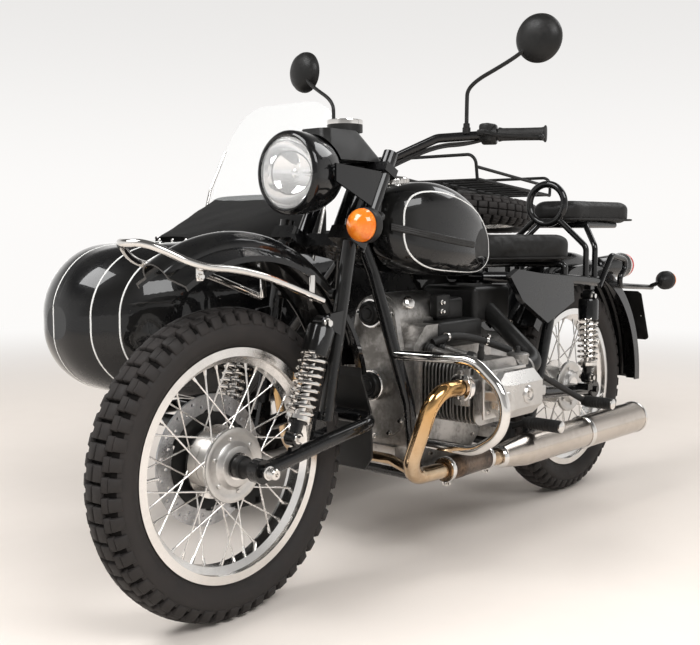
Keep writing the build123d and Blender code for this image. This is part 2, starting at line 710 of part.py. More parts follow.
with BuildPart() as saddle_mounts:
    with Locations((118, 0, 934)):
        Torus(62, 11, rotation=(0, 90, 0))
    carrier = [tube(flip([(118, SEAT_TUBE_Y, 690), (118, SEAT_TUBE_Y, 800), (118, 40, 887)], side), 9,
                    30) for side in SIDES]
    carrier += [tube(flip([(60, SEAT_TUBE_Y, 690), (60, SEAT_TUBE_Y, 800), (20, 84, 869)], side), 9,
                     30) for side in SIDES]
    carrier += [tube(flip([(20, 84, 869), (-180, 84, 869)], side), 10) for side in SIDES]
    carrier += [tube([(x, -84, 869), (x, 84, 869)], 10) for x in (20, -180)]
    carrier.append(tube([(250, -SEAT_TUBE_Y, 700), (250, -SEAT_TUBE_Y, 749), (250, SEAT_TUBE_Y, 749),
                         (250, SEAT_TUBE_Y, 700)], 10, 14))
    carrier.append(tube([(250, 0, 749), (478, 0, 751)], 9))
    carrier.append(tube([(478, 0, 751), (540, 0, 726)], 9))
    add(carrier)
    add(near_frame.part, mode=Mode.SUBTRACT)
keep(saddle_mounts, "saddle_mounts")

REAR_GUARD_R = 440
REAR_GUARD_HALF = 86
with BuildPart() as rear_fender:
    add(guard(REAR_AXLE, REAR_GUARD_R, REAR_GUARD_HALF, 40, 34, 4, 34, 148))
    for side in SIDES:
        add(block((40, side * (REAR_GUARD_HALF - 2), 690), (64, side * 130, 706)))
    add(near_frame.part, mode=Mode.SUBTRACT)
keep(rear_fender, "rear_fender")

TAIL_Z = 728
with BuildPart() as rear_lamps:
    add(spun((-215, 0, TAIL_Z), (-1, 0, 0), [(0, 0), (0, 26), (20, 32), (190, 44), (222, 44), (230, 36),
                                             (230, 0)]))
    add(block((-330, -24, 600), (-250, 24, 705)))
    with Locations(REAR_AXLE):
        Cylinder(REAR_GUARD_R + SKIN_GAP, 300, rotation=(90, 0, 0), mode=Mode.SUBTRACT)
    lamp_centre = Vector(-352, 200, 683)
    add(spun(lamp_centre, (-1, 0, 0), [(14, 0), (8, 20), (0, 32), (-18, 32), (-40, 14), (-42, 0)]))
    add(tube([lamp_centre + Vector(10, 0, 0), lamp_centre + Vector(10, -52.7, -21.5)], 7))
keep(rear_lamps, "rear_lamps")

PLATE_W = 190
PLATE_H = 184
PLATE_TILT = 23
PLATE_HOLES = 160
plate_out = Vector(-cos(radians(PLATE_TILT)), 0, sin(radians(PLATE_TILT)))
PLATE_CENTRE = Vector(-417, 0, 551)
with BuildPart() as number_plate:
    back = Plane(origin=PLATE_CENTRE, x_dir=(0, 1, 0), z_dir=plate_out)
    with BuildSketch(back):
        RectangleRounded(PLATE_W, PLATE_H, 10)
    extrude(amount=-4)
    with BuildSketch(back.offset(-4)):
        Rectangle(70, 60)
    extrude(amount=-60)
    with Locations(REAR_AXLE):
        Cylinder(REAR_GUARD_R + SKIN_GAP, 300, rotation=(90, 0, 0), mode=Mode.SUBTRACT)
    with BuildSketch(back):
        with Locations((-PLATE_HOLES / 2, 0), (PLATE_HOLES / 2, 0)):
            Circle(3.5)
    extrude(amount=-4, mode=Mode.SUBTRACT)
keep(number_plate, "number_plate")

with BuildPart() as tail_rails:
    for side in SIDES:
        run = [(52, 152, 676), (-28, 152, 772), (-158, 152, 752), (-72, 146, 674), (-366, 138, 656)]
        add(tube(flip(run, side), 9, 22))
    add(near_frame.part, mode=Mode.SUBTRACT)
keep(tail_rails, "tail_rails")

with BuildPart() as side_panels:
    outline = [(606, 726), (566, 744), (258, 706), (250, 640), (404, 586), (540, 656)]
    for side in SIDES:
        panel = Plane(origin=(0, side * (SEAT_TUBE_Y + TUBE_R + 9 + SKIN_GAP), 0), x_dir=(1, 0, 0),
                      z_dir=(0, -1, 0))
        add(plate(panel, outline, 18))
keep(side_panels, "side_panels")

ARM_Y = 100
with BuildPart() as swingarm:
    for side in SIDES:
        add(tube(flip([(SWING_PIVOT.X, ARM_Y, SWING_PIVOT.Z), (0, ARM_Y, TYRE_R)], side), 18))
        add(tube(flip([(0, ARM_Y - 16, TYRE_R), (0, ARM_Y + 21, TYRE_R)], side), 26))
        add(block((72, side * (ARM_Y + 10), 352), (100, side * 148, 372)))
    add(tube([(0, -ARM_Y - 21, TYRE_R), (0, ARM_Y + 30, TYRE_R)], AXLE_R))
    add(tube([(SWING_PIVOT.X, -119, SWING_PIVOT.Z), (SWING_PIVOT.X, 119, SWING_PIVOT.Z)], 20))
    with Locations((SWING_PIVOT.X, 0, SWING_PIVOT.Z)):
        Cylinder(13 + RUNNING, 300, rotation=(90, 0, 0), mode=Mode.SUBTRACT)
keep(swingarm, "swingarm")

ARM_PAD = 372
with BuildPart() as rear_shocks:
    for side in SIDES:
        eye_low = Vector(STRUT_X, side * STRUT_Y, ARM_PAD + 19.3)
        add(shock(eye_low, (STRUT_X + 2, side * STRUT_Y, STRUT_TOP), 31, 27, 8))
keep(rear_shocks, "rear_shocks")

with BuildPart() as final_drive:
    drive_face = Plane(origin=(0, -ARM_Y - 21, TYRE_R), z_dir=(0, -1, 0))
    with BuildSketch(drive_face):
        Circle(70)
    extrude(amount=10)
    with BuildSketch(drive_face.offset(10)):
        Circle(70)
    extrude(amount=30, taper=18)
keep(final_drive, "final_drive")

PEG_ROWS = (
    # peg x, y inner, z, length, root x, root y, root z
    (530, 176, 318, 118, 530, 136, 300),
    (199, 182, 336, 98, 388, 148, 430),
)
with BuildPart() as footrests:
    for side in SIDES:
        for x, y, z, length, root_x, root_y, root_z in PEG_ROWS:
            add(tube(flip([(x, y, z), (x, y + length, z)], side), 14))
            add(tube(flip([(root_x, root_y, root_z), (x, y + 6, z)], side), 9))
        add(block((520, side * 126, 240), (540, side * 142, 312)))
    add(near_frame.part, mode=Mode.SUBTRACT)
keep(footrests, "footrests")

with BuildPart() as pedals:
    for side in SIDES:
        add(tube(flip([(420, 148, 352), (530, 142, 338), (660, 152, 330)], side), 7, 60))
        add(tube(flip([(664, 140, 331), (656, 196, 331)], side), 10))
        add(tube(flip([(530, 148, 339), (530, 104, 339)], side), 9))
    add(near_frame.part, mode=Mode.SUBTRACT)
keep(pedals, "pedals")

# Sidecar

HULL_ROWS = (
    # x, half width, low, high, corner
    (-664, 150, 560, 745, 62),
    (-560, 212, 470, 798, 92),
    (-330, 266, 372, 842, 112),
    (0, 285, 330, 848, 120),
    (600, 285, 330, 836, 126),
    (990, 284, 352, 822, 142),
    (1205, 250, 392, 813, 158),
    (1345, 184, 427, 788, 160),
    (1424, 104, 494, 716, 94),
    (1450, 44, 562, 652, 41),
)


def hull(inset):
    """The sidecar body's outside, or the same form drawn in by the wall."""
    last = len(HULL_ROWS) - 1
    with BuildPart() as form:
        for row, (x, half, low, high, corner) in enumerate(HULL_ROWS):
            x += inset if row == 0 else -inset if row == last else 0
            with BuildSketch(Plane(origin=(x, SIDECAR_Y, (low + high) / 2), x_dir=(0, 1, 0),
                                   z_dir=(1, 0, 0))):
                RectangleRounded(2 * (half - inset), high - low - 2 * inset, corner - inset)
        loft()
    return form.part


def shaft_down(x_low, x_high, half, corner):
    """An upright prism over the sidecar, for the holes in its deck."""
    with BuildPart() as prism:
        with BuildSketch(Plane(origin=((x_low + x_high) / 2, SIDECAR_Y, 700))):
            RectangleRounded(x_high - x_low, 2 * half, corner)
        extrude(amount=300)
    return prism.part


COCKPIT = (-40, 960, 212, 120)
TRUNK = (-556, -132, 192, 40)
BULKHEAD_X = -70
HINGE = Vector(-108, SIDECAR_Y, 864)
HINGE_R = 5
HINGE_YS = (-110, 110)
outer_hull = hull(0)
inner_hull = hull(BODY_WALL)
near_hull = hull(-SKIN_GAP)

with BuildPart() as body_shell:
    add(outer_hull)
    add(inner_hull, mode=Mode.SUBTRACT)
    add(shaft_down(*COCKPIT), mode=Mode.SUBTRACT)
    add(shaft_down(*TRUNK), mode=Mode.SUBTRACT)
tail_joint = Plane(origin=(BULKHEAD_X, SIDECAR_Y, 0), x_dir=(0, 1, 0), z_dir=(1, 0, 0))

with BuildPart() as sidecar_body:
    add(body_shell.part)
    split(bisect_by=tail_joint, keep=Keep.TOP)
    with BuildSketch(Plane(origin=(BULKHEAD_X, SIDECAR_Y, 589), x_dir=(0, 1, 0), z_dir=(1, 0, 0))):
        RectangleRounded(556, 500, 112)
    extrude(amount=BODY_WALL)
keep(sidecar_body, "sidecar_body")

with BuildPart() as sidecar_tail:
    add(body_shell.part)
    split(bisect_by=tail_joint, keep=Keep.BOTTOM)
    for y in HINGE_YS:
        for step in (-18, 18):
            add(block((HINGE.X - 9, SIDECAR_Y + y + step - 6, 838),
                      (HINGE.X + 9, SIDECAR_Y + y + step + 6, HINGE.Z)))
            add(tube([(HINGE.X, SIDECAR_Y + y + step - 6, HINGE.Z),
                      (HINGE.X, SIDECAR_Y + y + step + 6, HINGE.Z)], 10))
    with Locations(HINGE):
        Cylinder(HINGE_R + RUNNING, 500, rotation=(90, 0, 0), mode=Mode.SUBTRACT)
keep(sidecar_tail, "sidecar_tail")

lid_x_low, lid_x_high, lid_half, lid_corner = TRUNK
spare_normal = Vector(-sin(radians(SPARE_TILT)), 0, cos(radians(SPARE_TILT)))
spare_forward = Vector(cos(radians(SPARE_TILT)), 0, sin(radians(SPARE_TILT)))
spare_plane = Plane(origin=(SPARE_X, SIDECAR_Y, SPARE_Z), x_dir=spare_forward, z_dir=spare_normal)
with BuildPart() as trunk_lid:
    add(outer_hull)
    add(inner_hull, mode=Mode.SUBTRACT)
    cut = (lid_x_low + LID_GAP, lid_x_high - LID_GAP, lid_half - LID_GAP, lid_corner - LID_GAP)
    add(shaft_down(*cut), mode=Mode.INTERSECT)
    for y in HINGE_YS:
        knuckle = SIDECAR_Y + y
        add(tube([(HINGE.X, knuckle - 24, HINGE.Z), (HINGE.X, knuckle + 24, HINGE.Z)], HINGE_R))
        add(tube([(HINGE.X, knuckle - 9, HINGE.Z), (HINGE.X, knuckle + 9, HINGE.Z)], 9))
        add(tube([(HINGE.X, knuckle, HINGE.Z), (HINGE.X - 34, knuckle, HINGE.Z - 1),
                  (HINGE.X - 60, knuckle, 846)], 7, 10))
    with BuildSketch(spare_plane.offset(-HUB_RIGHT)):
        Circle(40)
    extrude(amount=-30)
    with BuildSketch(spare_plane.offset(-HUB_RIGHT - 4)):
        Circle(AXLE_R)
    extrude(amount=HUB_RIGHT + HUB_LEFT + 22)
    with BuildSketch(spare_plane.offset(HUB_LEFT)):
        Circle(24)
    extrude(amount=12)
keep(trunk_lid, "trunk_lid")


def on_spare(points):
    """Points given along, across and above the spare wheel's middle plane."""
    return [spare_plane.from_local_coords(Vector(*point)) for point in points]


rack_wires = []
for end, rise, lean in ((RACK_FRONT, 88, 22), (RACK_BACK, RACK_RISE, 0)):
    hoop = [(end, -RACK_HALF, DECK_UP), (end + lean, -RACK_HALF, DECK_UP + rise),
            (end + lean, RACK_HALF, DECK_UP + rise), (end, RACK_HALF, DECK_UP)]
    rack_wires.append(tube(on_spare(hoop), WIRE_R, 36))
for side in SIDES:
    y = side * RACK_HALF
    rack_wires.append(tube(on_spare([(RACK_FRONT, y, DECK_UP), (RACK_BACK, y, DECK_UP)]), WIRE_R))
    rack_wires.append(tube(on_spare([(RACK_FRONT + 11, y, DECK_UP + 44), (RACK_BACK, y, DECK_UP + 34)]),
                           WIRE_R))
    rail = [(RACK_FRONT - 30, side * 60, DECK_UP - 8), (RACK_BACK + 30, side * 60, DECK_UP - 8)]
    rack_wires.append(tube(on_spare(rail), WIRE_R))
for slat in range(9):
    x = RACK_FRONT - 14 - slat * (RACK_FRONT - RACK_BACK - 28) / 8
    rack_wires.append(tube(on_spare([(x, -RACK_HALF, DECK_UP), (x, RACK_HALF, DECK_UP)]), 5))
with BuildPart() as luggage_rack:
    add(rack_wires)
    with BuildSketch(spare_plane.offset(HUB_LEFT + 12)):
        Circle(22)
        Circle(AXLE_R + SKIN_GAP, mode=Mode.SUBTRACT)
    extrude(amount=14)
    with BuildSketch(spare_plane.offset(HUB_LEFT + 26)):
        Circle(22)
    extrude(amount=DECK_UP - HUB_LEFT - 36)
    with BuildSketch(spare_plane.offset(DECK_UP - 14)):
        Rectangle(150, 136)
    extrude(amount=6)
keep(luggage_rack, "luggage_rack")

with BuildPart() as sidecar_seat:
    with Locations((285, SIDECAR_Y, 368.6)):
        Box(380, 300, 64.8)
    with Locations((285, SIDECAR_Y, 440)):
        Box(410, 440, 80)
    fillet(sidecar_seat.faces().sort_by(Axis.Z)[-1].edges(), 26)
    with BuildSketch(Plane(origin=(BULKHEAD_X + BODY_WALL, SIDECAR_Y, 610), x_dir=(0, 1, 0),
                           z_dir=(1, 0, 0))):
        RectangleRounded(440, 380, 60)
    extrude(amount=90)
    fillet(sidecar_seat.faces().filter_by(Axis.X).sort_by(Axis.Z)[-1].edges(), 20)
keep(sidecar_seat, "sidecar_seat")

APRON_FRONT = 1060
APRON_BACK = 690
APRON_TOP = 957
APRON_LOW = 830
APRON_T = 4
with BuildPart() as tonneau:
    for inset, front, back, how in ((0, APRON_FRONT, APRON_BACK, Mode.ADD),
                                    (APRON_T, APRON_FRONT - 6, APRON_BACK - 2, Mode.SUBTRACT)):
        for x, half, high, corner in ((front, 92, APRON_LOW, 36), (back, 262, APRON_TOP, 44)):
            with BuildSketch(Plane(origin=(x, SIDECAR_Y, (700 + high - inset) / 2), x_dir=(0, 1, 0),
                                   z_dir=(1, 0, 0))):
                RectangleRounded(2 * (half - inset), high - inset - 700, corner - inset)
        loft(mode=how)
    add(near_hull, mode=Mode.SUBTRACT)
keep(tonneau, "tonneau")

SCREEN_TOP = 1256
SCREEN_HALF = 250
SCREEN_T = 4
SCREEN_BASE = 694
SCREEN_LEAN = 0.42
SCREEN_DIP = 30
with BuildPart() as windshield:
    rise = SCREEN_TOP - APRON_TOP + SCREEN_DIP
    dip_x = SCREEN_BASE + SCREEN_LEAN * SCREEN_DIP
    with BuildSketch(Plane(origin=(dip_x, SIDECAR_Y, APRON_TOP - SCREEN_DIP), x_dir=(0, 1, 0),
                           z_dir=(0, 0, 1))):
        with BuildLine():
            ThreePointArc((-SCREEN_HALF, 0), (0, -34), (SCREEN_HALF, 0))
            Line((SCREEN_HALF, 0), (SCREEN_HALF, SCREEN_T))
            ThreePointArc((SCREEN_HALF, SCREEN_T), (0, SCREEN_T - 34), (-SCREEN_HALF, SCREEN_T))
            Line((-SCREEN_HALF, SCREEN_T), (-SCREEN_HALF, 0))
        make_face()
    lean = Vector(-SCREEN_LEAN, 0, 1)
    extrude(amount=rise * lean.length, dir=lean.normalized())
    with BuildSketch(Plane(origin=(1000, SIDECAR_Y, SCREEN_TOP - rise), x_dir=(0, 1, 0), z_dir=(1, 0, 0))):
        RectangleRounded(2 * SCREEN_HALF + 2, 2 * rise, 150)
    extrude(amount=-900, mode=Mode.INTERSECT)
    apron_slope = (APRON_TOP - APRON_LOW) / (APRON_FRONT - APRON_BACK)
    apron_face = Plane(origin=(APRON_BACK, SIDECAR_Y, APRON_TOP + 0.5), x_dir=(0, 1, 0),
                       z_dir=(apron_slope, 0, 1))
    split(bisect_by=apron_face, keep=Keep.TOP)
keep(windshield, "windshield")

with BuildPart() as screen_posts:
    for side in SIDES:
        foot = Vector(SCREEN_BASE + 60, SIDECAR_Y + side * 269, 740)
        bend = Vector(SCREEN_BASE - 14, SIDECAR_Y + side * 269, 985)
        top = Vector(SCREEN_BASE - 72, SIDECAR_Y + side * (SCREEN_HALF + 5.4), 1116)
        add(tube([foot, bend, top], 5, 60))
    add(near_hull, mode=Mode.SUBTRACT)
keep(screen_posts, "screen_posts")

FRAME_Z = 286
RAIL_LEFT = SIDECAR_Y + 220
RAIL_RIGHT = SIDECAR_Y - 220
PIVOT_X = 520
ARM_LINE = -1040
RAIL_R = 20
rail_run = [(-330, RAIL_LEFT, FRAME_Z), (1060, RAIL_LEFT, FRAME_Z), (1060, RAIL_RIGHT, FRAME_Z),
            (-330, RAIL_RIGHT, FRAME_Z)]
with BuildPart() as sidecar_frame:
    add(tube(rail_run, RAIL_R, 110))
keep(sidecar_frame, "sidecar_frame")

cross_tubes = [tube([(PIVOT_X, RAIL_LEFT, FRAME_Z), (PIVOT_X, -1064, FRAME_Z)], 16)]
for x in (-300, 20, 250, 880):
    cross_tubes.append(tube([(x, RAIL_LEFT, FRAME_Z), (x, RAIL_RIGHT, FRAME_Z)], 18))
for x in (20, 880):
    for side in SIDES:
        y = SIDECAR_Y + side * 120
        cross_tubes.append(block((x - 20, y - 20, FRAME_Z), (x + 20, y + 20, FRAME_Z + 90)))
cross_tubes.append(tube([(250, RAIL_RIGHT, FRAME_Z), (250, -993, FRAME_Z), (250, -993, 622),
                         (279, -1012, 644)], 11, 24))
STRUT_ROWS = (
    # foot on the motorcycle, foot on the sidecar
    ((985, -130, 376), (1000, RAIL_LEFT - 12, FRAME_Z)),
    ((406, -142, 376), (400, RAIL_LEFT, FRAME_Z)),
    ((1046, -54, 764), (1040, RAIL_LEFT - 46, FRAME_Z)),
    ((215, -142, 700), (150, RAIL_LEFT, FRAME_Z)),
)
for foot, hand in STRUT_ROWS:
    cross_tubes.append(tube([foot, hand], 14))
with BuildPart() as sidecar_cross_tubes:
    add(cross_tubes)
    add(tube(rail_run, RAIL_R + SKIN_GAP, 110), mode=Mode.SUBTRACT)
    add(near_hull, mode=Mode.SUBTRACT)
    add(near_frame.part, mode=Mode.SUBTRACT)
keep(sidecar_cross_tubes, "sidecar_cross_tubes")

with BuildPart() as sidecar_arm:
    add(tube([(PIVOT_X, ARM_LINE, FRAME_Z), (LEAD, ARM_LINE, TYRE_R)], 17))
    add(tube([(LEAD, ARM_LINE + 20, TYRE_R), (LEAD, ARM_LINE - 22, TYRE_R)], 26))
    add(tube([(LEAD, ARM_LINE, TYRE_R), (LEAD, -TRACK - AXLE_END, TYRE_R)], AXLE_R))
    add(tube([(LEAD, -TRACK - HUB_RIGHT - 6, TYRE_R), (LEAD, -TRACK - HUB_RIGHT - 20, TYRE_R)], 17))
    add(tube([(PIVOT_X, ARM_LINE + 20, FRAME_Z), (PIVOT_X, ARM_LINE - 20, FRAME_Z)], 27))
    add(block((330 - 12, ARM_LINE - 10, 320), (330 + 12, ARM_LINE + 10, 349)))
    with Locations((PIVOT_X, ARM_LINE, FRAME_Z)):
        Cylinder(16 + RUNNING, 100, rotation=(90, 0, 0), mode=Mode.SUBTRACT)
keep(sidecar_arm, "sidecar_arm")

with BuildPart() as sidecar_shock:
    add(shock((330, ARM_LINE, 367), (304, -1026, 628), 28, 25, 8))
keep(sidecar_shock, "sidecar_shock")

GUARD_R = 402
with BuildPart() as sidecar_fender:
    add(guard(SIDECAR_AXLE, GUARD_R, 78, 34, 40, 4, 8, 164))
    for angle in (60, 120):
        x = LEAD + 350 * cos(radians(angle))
        z = TYRE_R + 350 * sin(radians(angle))
        add(tube([(x, -TRACK + 76, z), (x, SIDECAR_Y - 270, z)], 8))
    add(near_hull, mode=Mode.SUBTRACT)
keep(sidecar_fender, "sidecar_fender")

MARKER_R = 26
with BuildPart() as sidecar_lamps:
    for x, way in ((LEAD + 200, 1), (LEAD - 200, -1)):
        centre = Vector(x, -TRACK, TYRE_R + 0.87 * GUARD_R + 34)
        add(spun(centre, (way, 0, 0), [(14, 0), (8, 16), (0, MARKER_R), (-30, MARKER_R), (-44, 14),
                                       (-48, 0)]))
        add(block((x - 14 - way * 12, -TRACK - 12, centre.Z - 60),
                  (x + 14 - way * 12, -TRACK + 12, centre.Z)))
    with Locations(SIDECAR_AXLE):
        Cylinder(GUARD_R + SKIN_GAP, 300, rotation=(90, 0, 0), mode=Mode.SUBTRACT)
keep(sidecar_lamps, "sidecar_lamps")
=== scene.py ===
"""Looks for the sidecar motorcycle: finishes for the solids, and the pieces that are made here."""
from itertools import product
from math import cos, pi, radians, sin

import bmesh
import bpy
from mathutils import Matrix, Vector
from mathutils.bvhtree import BVHTree


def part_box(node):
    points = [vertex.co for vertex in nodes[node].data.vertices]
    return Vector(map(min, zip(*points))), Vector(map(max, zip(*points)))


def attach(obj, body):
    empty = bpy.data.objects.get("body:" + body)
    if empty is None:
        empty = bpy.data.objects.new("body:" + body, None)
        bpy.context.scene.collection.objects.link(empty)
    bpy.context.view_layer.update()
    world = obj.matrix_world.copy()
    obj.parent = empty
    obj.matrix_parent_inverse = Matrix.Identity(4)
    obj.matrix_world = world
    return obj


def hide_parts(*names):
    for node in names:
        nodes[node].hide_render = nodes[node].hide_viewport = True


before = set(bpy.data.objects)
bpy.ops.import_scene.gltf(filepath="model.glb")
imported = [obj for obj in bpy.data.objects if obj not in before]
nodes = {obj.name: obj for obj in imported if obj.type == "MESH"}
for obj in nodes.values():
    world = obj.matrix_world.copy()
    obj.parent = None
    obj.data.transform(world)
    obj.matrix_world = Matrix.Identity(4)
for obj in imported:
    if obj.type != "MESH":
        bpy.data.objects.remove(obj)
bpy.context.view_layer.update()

# The part's origin seen from the rear axle's foot, in metres. Sizes below are in millimetres from that foot:
# X forward, Y to the left, Z up
MIDDLE = Vector((0.5610375, -0.389, 0))
AXLE_Z = 342
FRONT_AXLE = (1480, 0, AXLE_Z)
SIDECAR_AXLE = (240, -1140, AXLE_Z)
WHEELS = {
    "front": (FRONT_AXLE, "front_wheel"),
    "rear": ((0, 0, AXLE_Z), "rear_wheel"),
    "sidecar": (SIDECAR_AXLE, "sidecar_wheel"),
}
SIDECAR_Y = -690
SPARE = (-336, SIDECAR_Y, 919)
SPARE_TILT = radians(4.9)
SIDES = (1, -1)
CENTRE = Vector((0, 0, 0))
AHEAD, BACK = (1, 0, 0), (-1, 0, 0)
LEFT, RIGHT = (0, 1, 0), (0, -1, 0)
UP = (0, 0, 1)
# Thickness of the washers under bolt heads, sides of a spring's wire, and its steps in one turn
WASHER = 1.6
WIRE_SIDES = 8
COIL_STEPS = 20


def at(x, y, z):
    """A point of the machine's own datum in the part's frame."""
    return Vector((x, y, z)) / 1000 - MIDDLE


def mm(value):
    return value / 1000


# Materials

def group_of(name, inputs, outputs):
    """An empty shader group of plain numbers, with its inputs given as (name, default)."""
    tree = bpy.data.node_groups.new(name, "ShaderNodeTree")
    for label, value in inputs:
        socket = tree.interface.new_socket(label, in_out="INPUT", socket_type="NodeSocketFloat")
        socket.default_value = value
    for label in outputs:
        tree.interface.new_socket(label, in_out="OUTPUT", socket_type="NodeSocketFloat")
    return tree, tree.nodes.new("NodeGroupInput"), tree.nodes.new("NodeGroupOutput")


def feed(tree, value, socket):
    """Give a socket a number, or link it to another socket."""
    if isinstance(value, (int, float)):
        socket.default_value = value
    else:
        tree.links.new(value, socket)


def own_place(tree):
    """Place on the piece itself, for a texture."""
    return tree.nodes.new("ShaderNodeTexCoord").outputs["Object"]


def noise(tree, where, scale, detail, roughness=0.5):
    node = tree.nodes.new("ShaderNodeTexNoise")
    node.inputs["Detail"].default_value = detail
    node.inputs["Roughness"].default_value = roughness
    tree.links.new(scale, node.inputs["Scale"])
    tree.links.new(where, node.inputs["Vector"])
    return node.outputs["Fac"]


def math_node(tree, kind, a, b):
    node = tree.nodes.new("ShaderNodeMath")
    node.operation = kind
    feed(tree, a, node.inputs[0])
    feed(tree, b, node.inputs[1])
    return node.outputs[0]


def ramp_between(tree, value, low, high, to_low=0.0, to_high=1.0):
    node = tree.nodes.new("ShaderNodeMapRange")
    node.interpolation_type = "SMOOTHSTEP"
    for label, number in (("From Min", low), ("From Max", high), ("To Min", to_low), ("To Max", to_high)):
        feed(tree, number, node.inputs[label])
    tree.links.new(value, node.inputs["Value"])
    return node.outputs["Result"]


def patches_group():
    """Soft patches over a surface: a mask of dust or handling, and a roughness that follows it."""
    tree, inp, out = group_of("patches", [("Scale", 6), ("Low", 0.2), ("High", 0.4)], ["Mask", "Roughness"])
    where = own_place(tree)
    big = noise(tree, where, inp.outputs["Scale"], 5, 0.6)
    fine = noise(tree, where, math_node(tree, "MULTIPLY", inp.outputs["Scale"], 9), 3, 0.6)
    both = math_node(tree, "ADD", math_node(tree, "MULTIPLY", big, 0.7),
                     math_node(tree, "MULTIPLY", fine, 0.3))
    tree.links.new(ramp_between(tree, both, 0.42, 0.62), out.inputs["Mask"])
    tree.links.new(ramp_between(tree, both, 0.38, 0.66, inp.outputs["Low"], inp.outputs["High"]),
                   out.inputs["Roughness"])
    return tree


def grain_group():
    """Height of a cast or moulded surface: fine pits on a slow swell."""
    tree, inp, out = group_of("grain", [("Scale", 400), ("Swell", 20)], ["Height"])
    where = own_place(tree)
    pits = noise(tree, where, inp.outputs["Scale"], 4, 0.6)
    swell = noise(tree, where, inp.outputs["Swell"], 2)
    height = math_node(tree, "ADD", math_node(tree, "MULTIPLY", pits, 0.4), swell)
    tree.links.new(height, out.inputs["Height"])
    return tree


def pebble_group():
    """Height of leather-cloth: pebbles parted by creases."""
    tree, inp, out = group_of("pebble", [("Scale", 500)], ["Height"])
    cells = tree.nodes.new("ShaderNodeTexVoronoi")
    cells.feature = "DISTANCE_TO_EDGE"
    tree.links.new(inp.outputs["Scale"], cells.inputs["Scale"])
    tree.links.new(own_place(tree), cells.inputs["Vector"])
    tree.links.new(ramp_between(tree, cells.outputs["Distance"], 0.0, 0.25), out.inputs["Height"])
    return tree


def weave_group():
    """Height of a plain weave on the piece's own place."""
    tree, inp, out = group_of("weave", [("Scale", 900)], ["Height"])
    where = own_place(tree)
    parts = []
    for direction in ("X", "Y"):
        wave = tree.nodes.new("ShaderNodeTexWave")
        wave.bands_direction = direction
        tree.links.new(inp.outputs["Scale"], wave.inputs["Scale"])
        tree.links.new(where, wave.inputs["Vector"])
        parts.append(wave.outputs["Fac"])
    tree.links.new(math_node(tree, "MAXIMUM", *parts), out.inputs["Height"])
    return tree


PATCHES = patches_group()
GRAIN = grain_group()
PEBBLE = pebble_group()
WEAVE = weave_group()


class Finish:
    """One material in the making: its tree, its shader, and short ways to dress them."""

    def __init__(self, name, colour, metallic, roughness, **plain):
        self.material = bpy.data.materials.new(name)
        self.material.use_nodes = True
        self.tree = self.material.node_tree
        self.shader = self.tree.nodes["Principled BSDF"]
        self.colour = (*colour, 1.0)
        self.shader.inputs["Base Color"].default_value = self.colour
        self.shader.inputs["Metallic"].default_value = metallic
        self.shader.inputs["Roughness"].default_value = roughness
        for label, value in plain.items():
            self.shader.inputs[label.replace("_", " ")].default_value = value

    def placed(self, tree, **values):
        node = self.tree.nodes.new("ShaderNodeGroup")
        node.node_tree = tree
        for label, value in values.items():
            node.inputs[label].default_value = value
        return node

    def tint(self, mask, colour):
        """Mix the base colour towards another where the mask says."""
        mix = self.tree.nodes.new("ShaderNodeMix")
        mix.data_type = "RGBA"
        self.tree.links.new(mask, mix.inputs["Factor"])
        sockets = [s for s in mix.inputs if s.type == "RGBA"]
        old = self.shader.inputs["Base Color"]
        if old.is_linked:
            self.tree.links.new(old.links[0].from_socket, sockets[0])
        else:
            sockets[0].default_value = self.colour
        sockets[1].default_value = (*colour, 1.0)
        self.tree.links.new([s for s in mix.outputs if s.type == "RGBA"][0], old)

    def patchy(self, scale, low, high, colour=None):
        node = self.placed(PATCHES, Scale=scale, Low=low, High=high)
        self.tree.links.new(node.outputs["Roughness"], self.shader.inputs["Roughness"])
        if colour is not None:
            self.tint(node.outputs["Mask"], colour)
        return self

    def bumped(self, height, strength, distance):
        bump = self.tree.nodes.new("ShaderNodeBump")
        bump.inputs["Strength"].default_value = strength
        bump.inputs["Distance"].default_value = distance
        old = self.shader.inputs["Normal"]
        if old.is_linked:
            self.tree.links.new(old.links[0].from_socket, bump.inputs["Normal"])
        self.tree.links.new(height, bump.inputs["Height"])
        self.tree.links.new(bump.outputs["Normal"], old)

    def grained(self, scale, swell, strength, distance):
        self.bumped(self.placed(GRAIN, Scale=scale, Swell=swell).outputs["Height"], strength, distance)


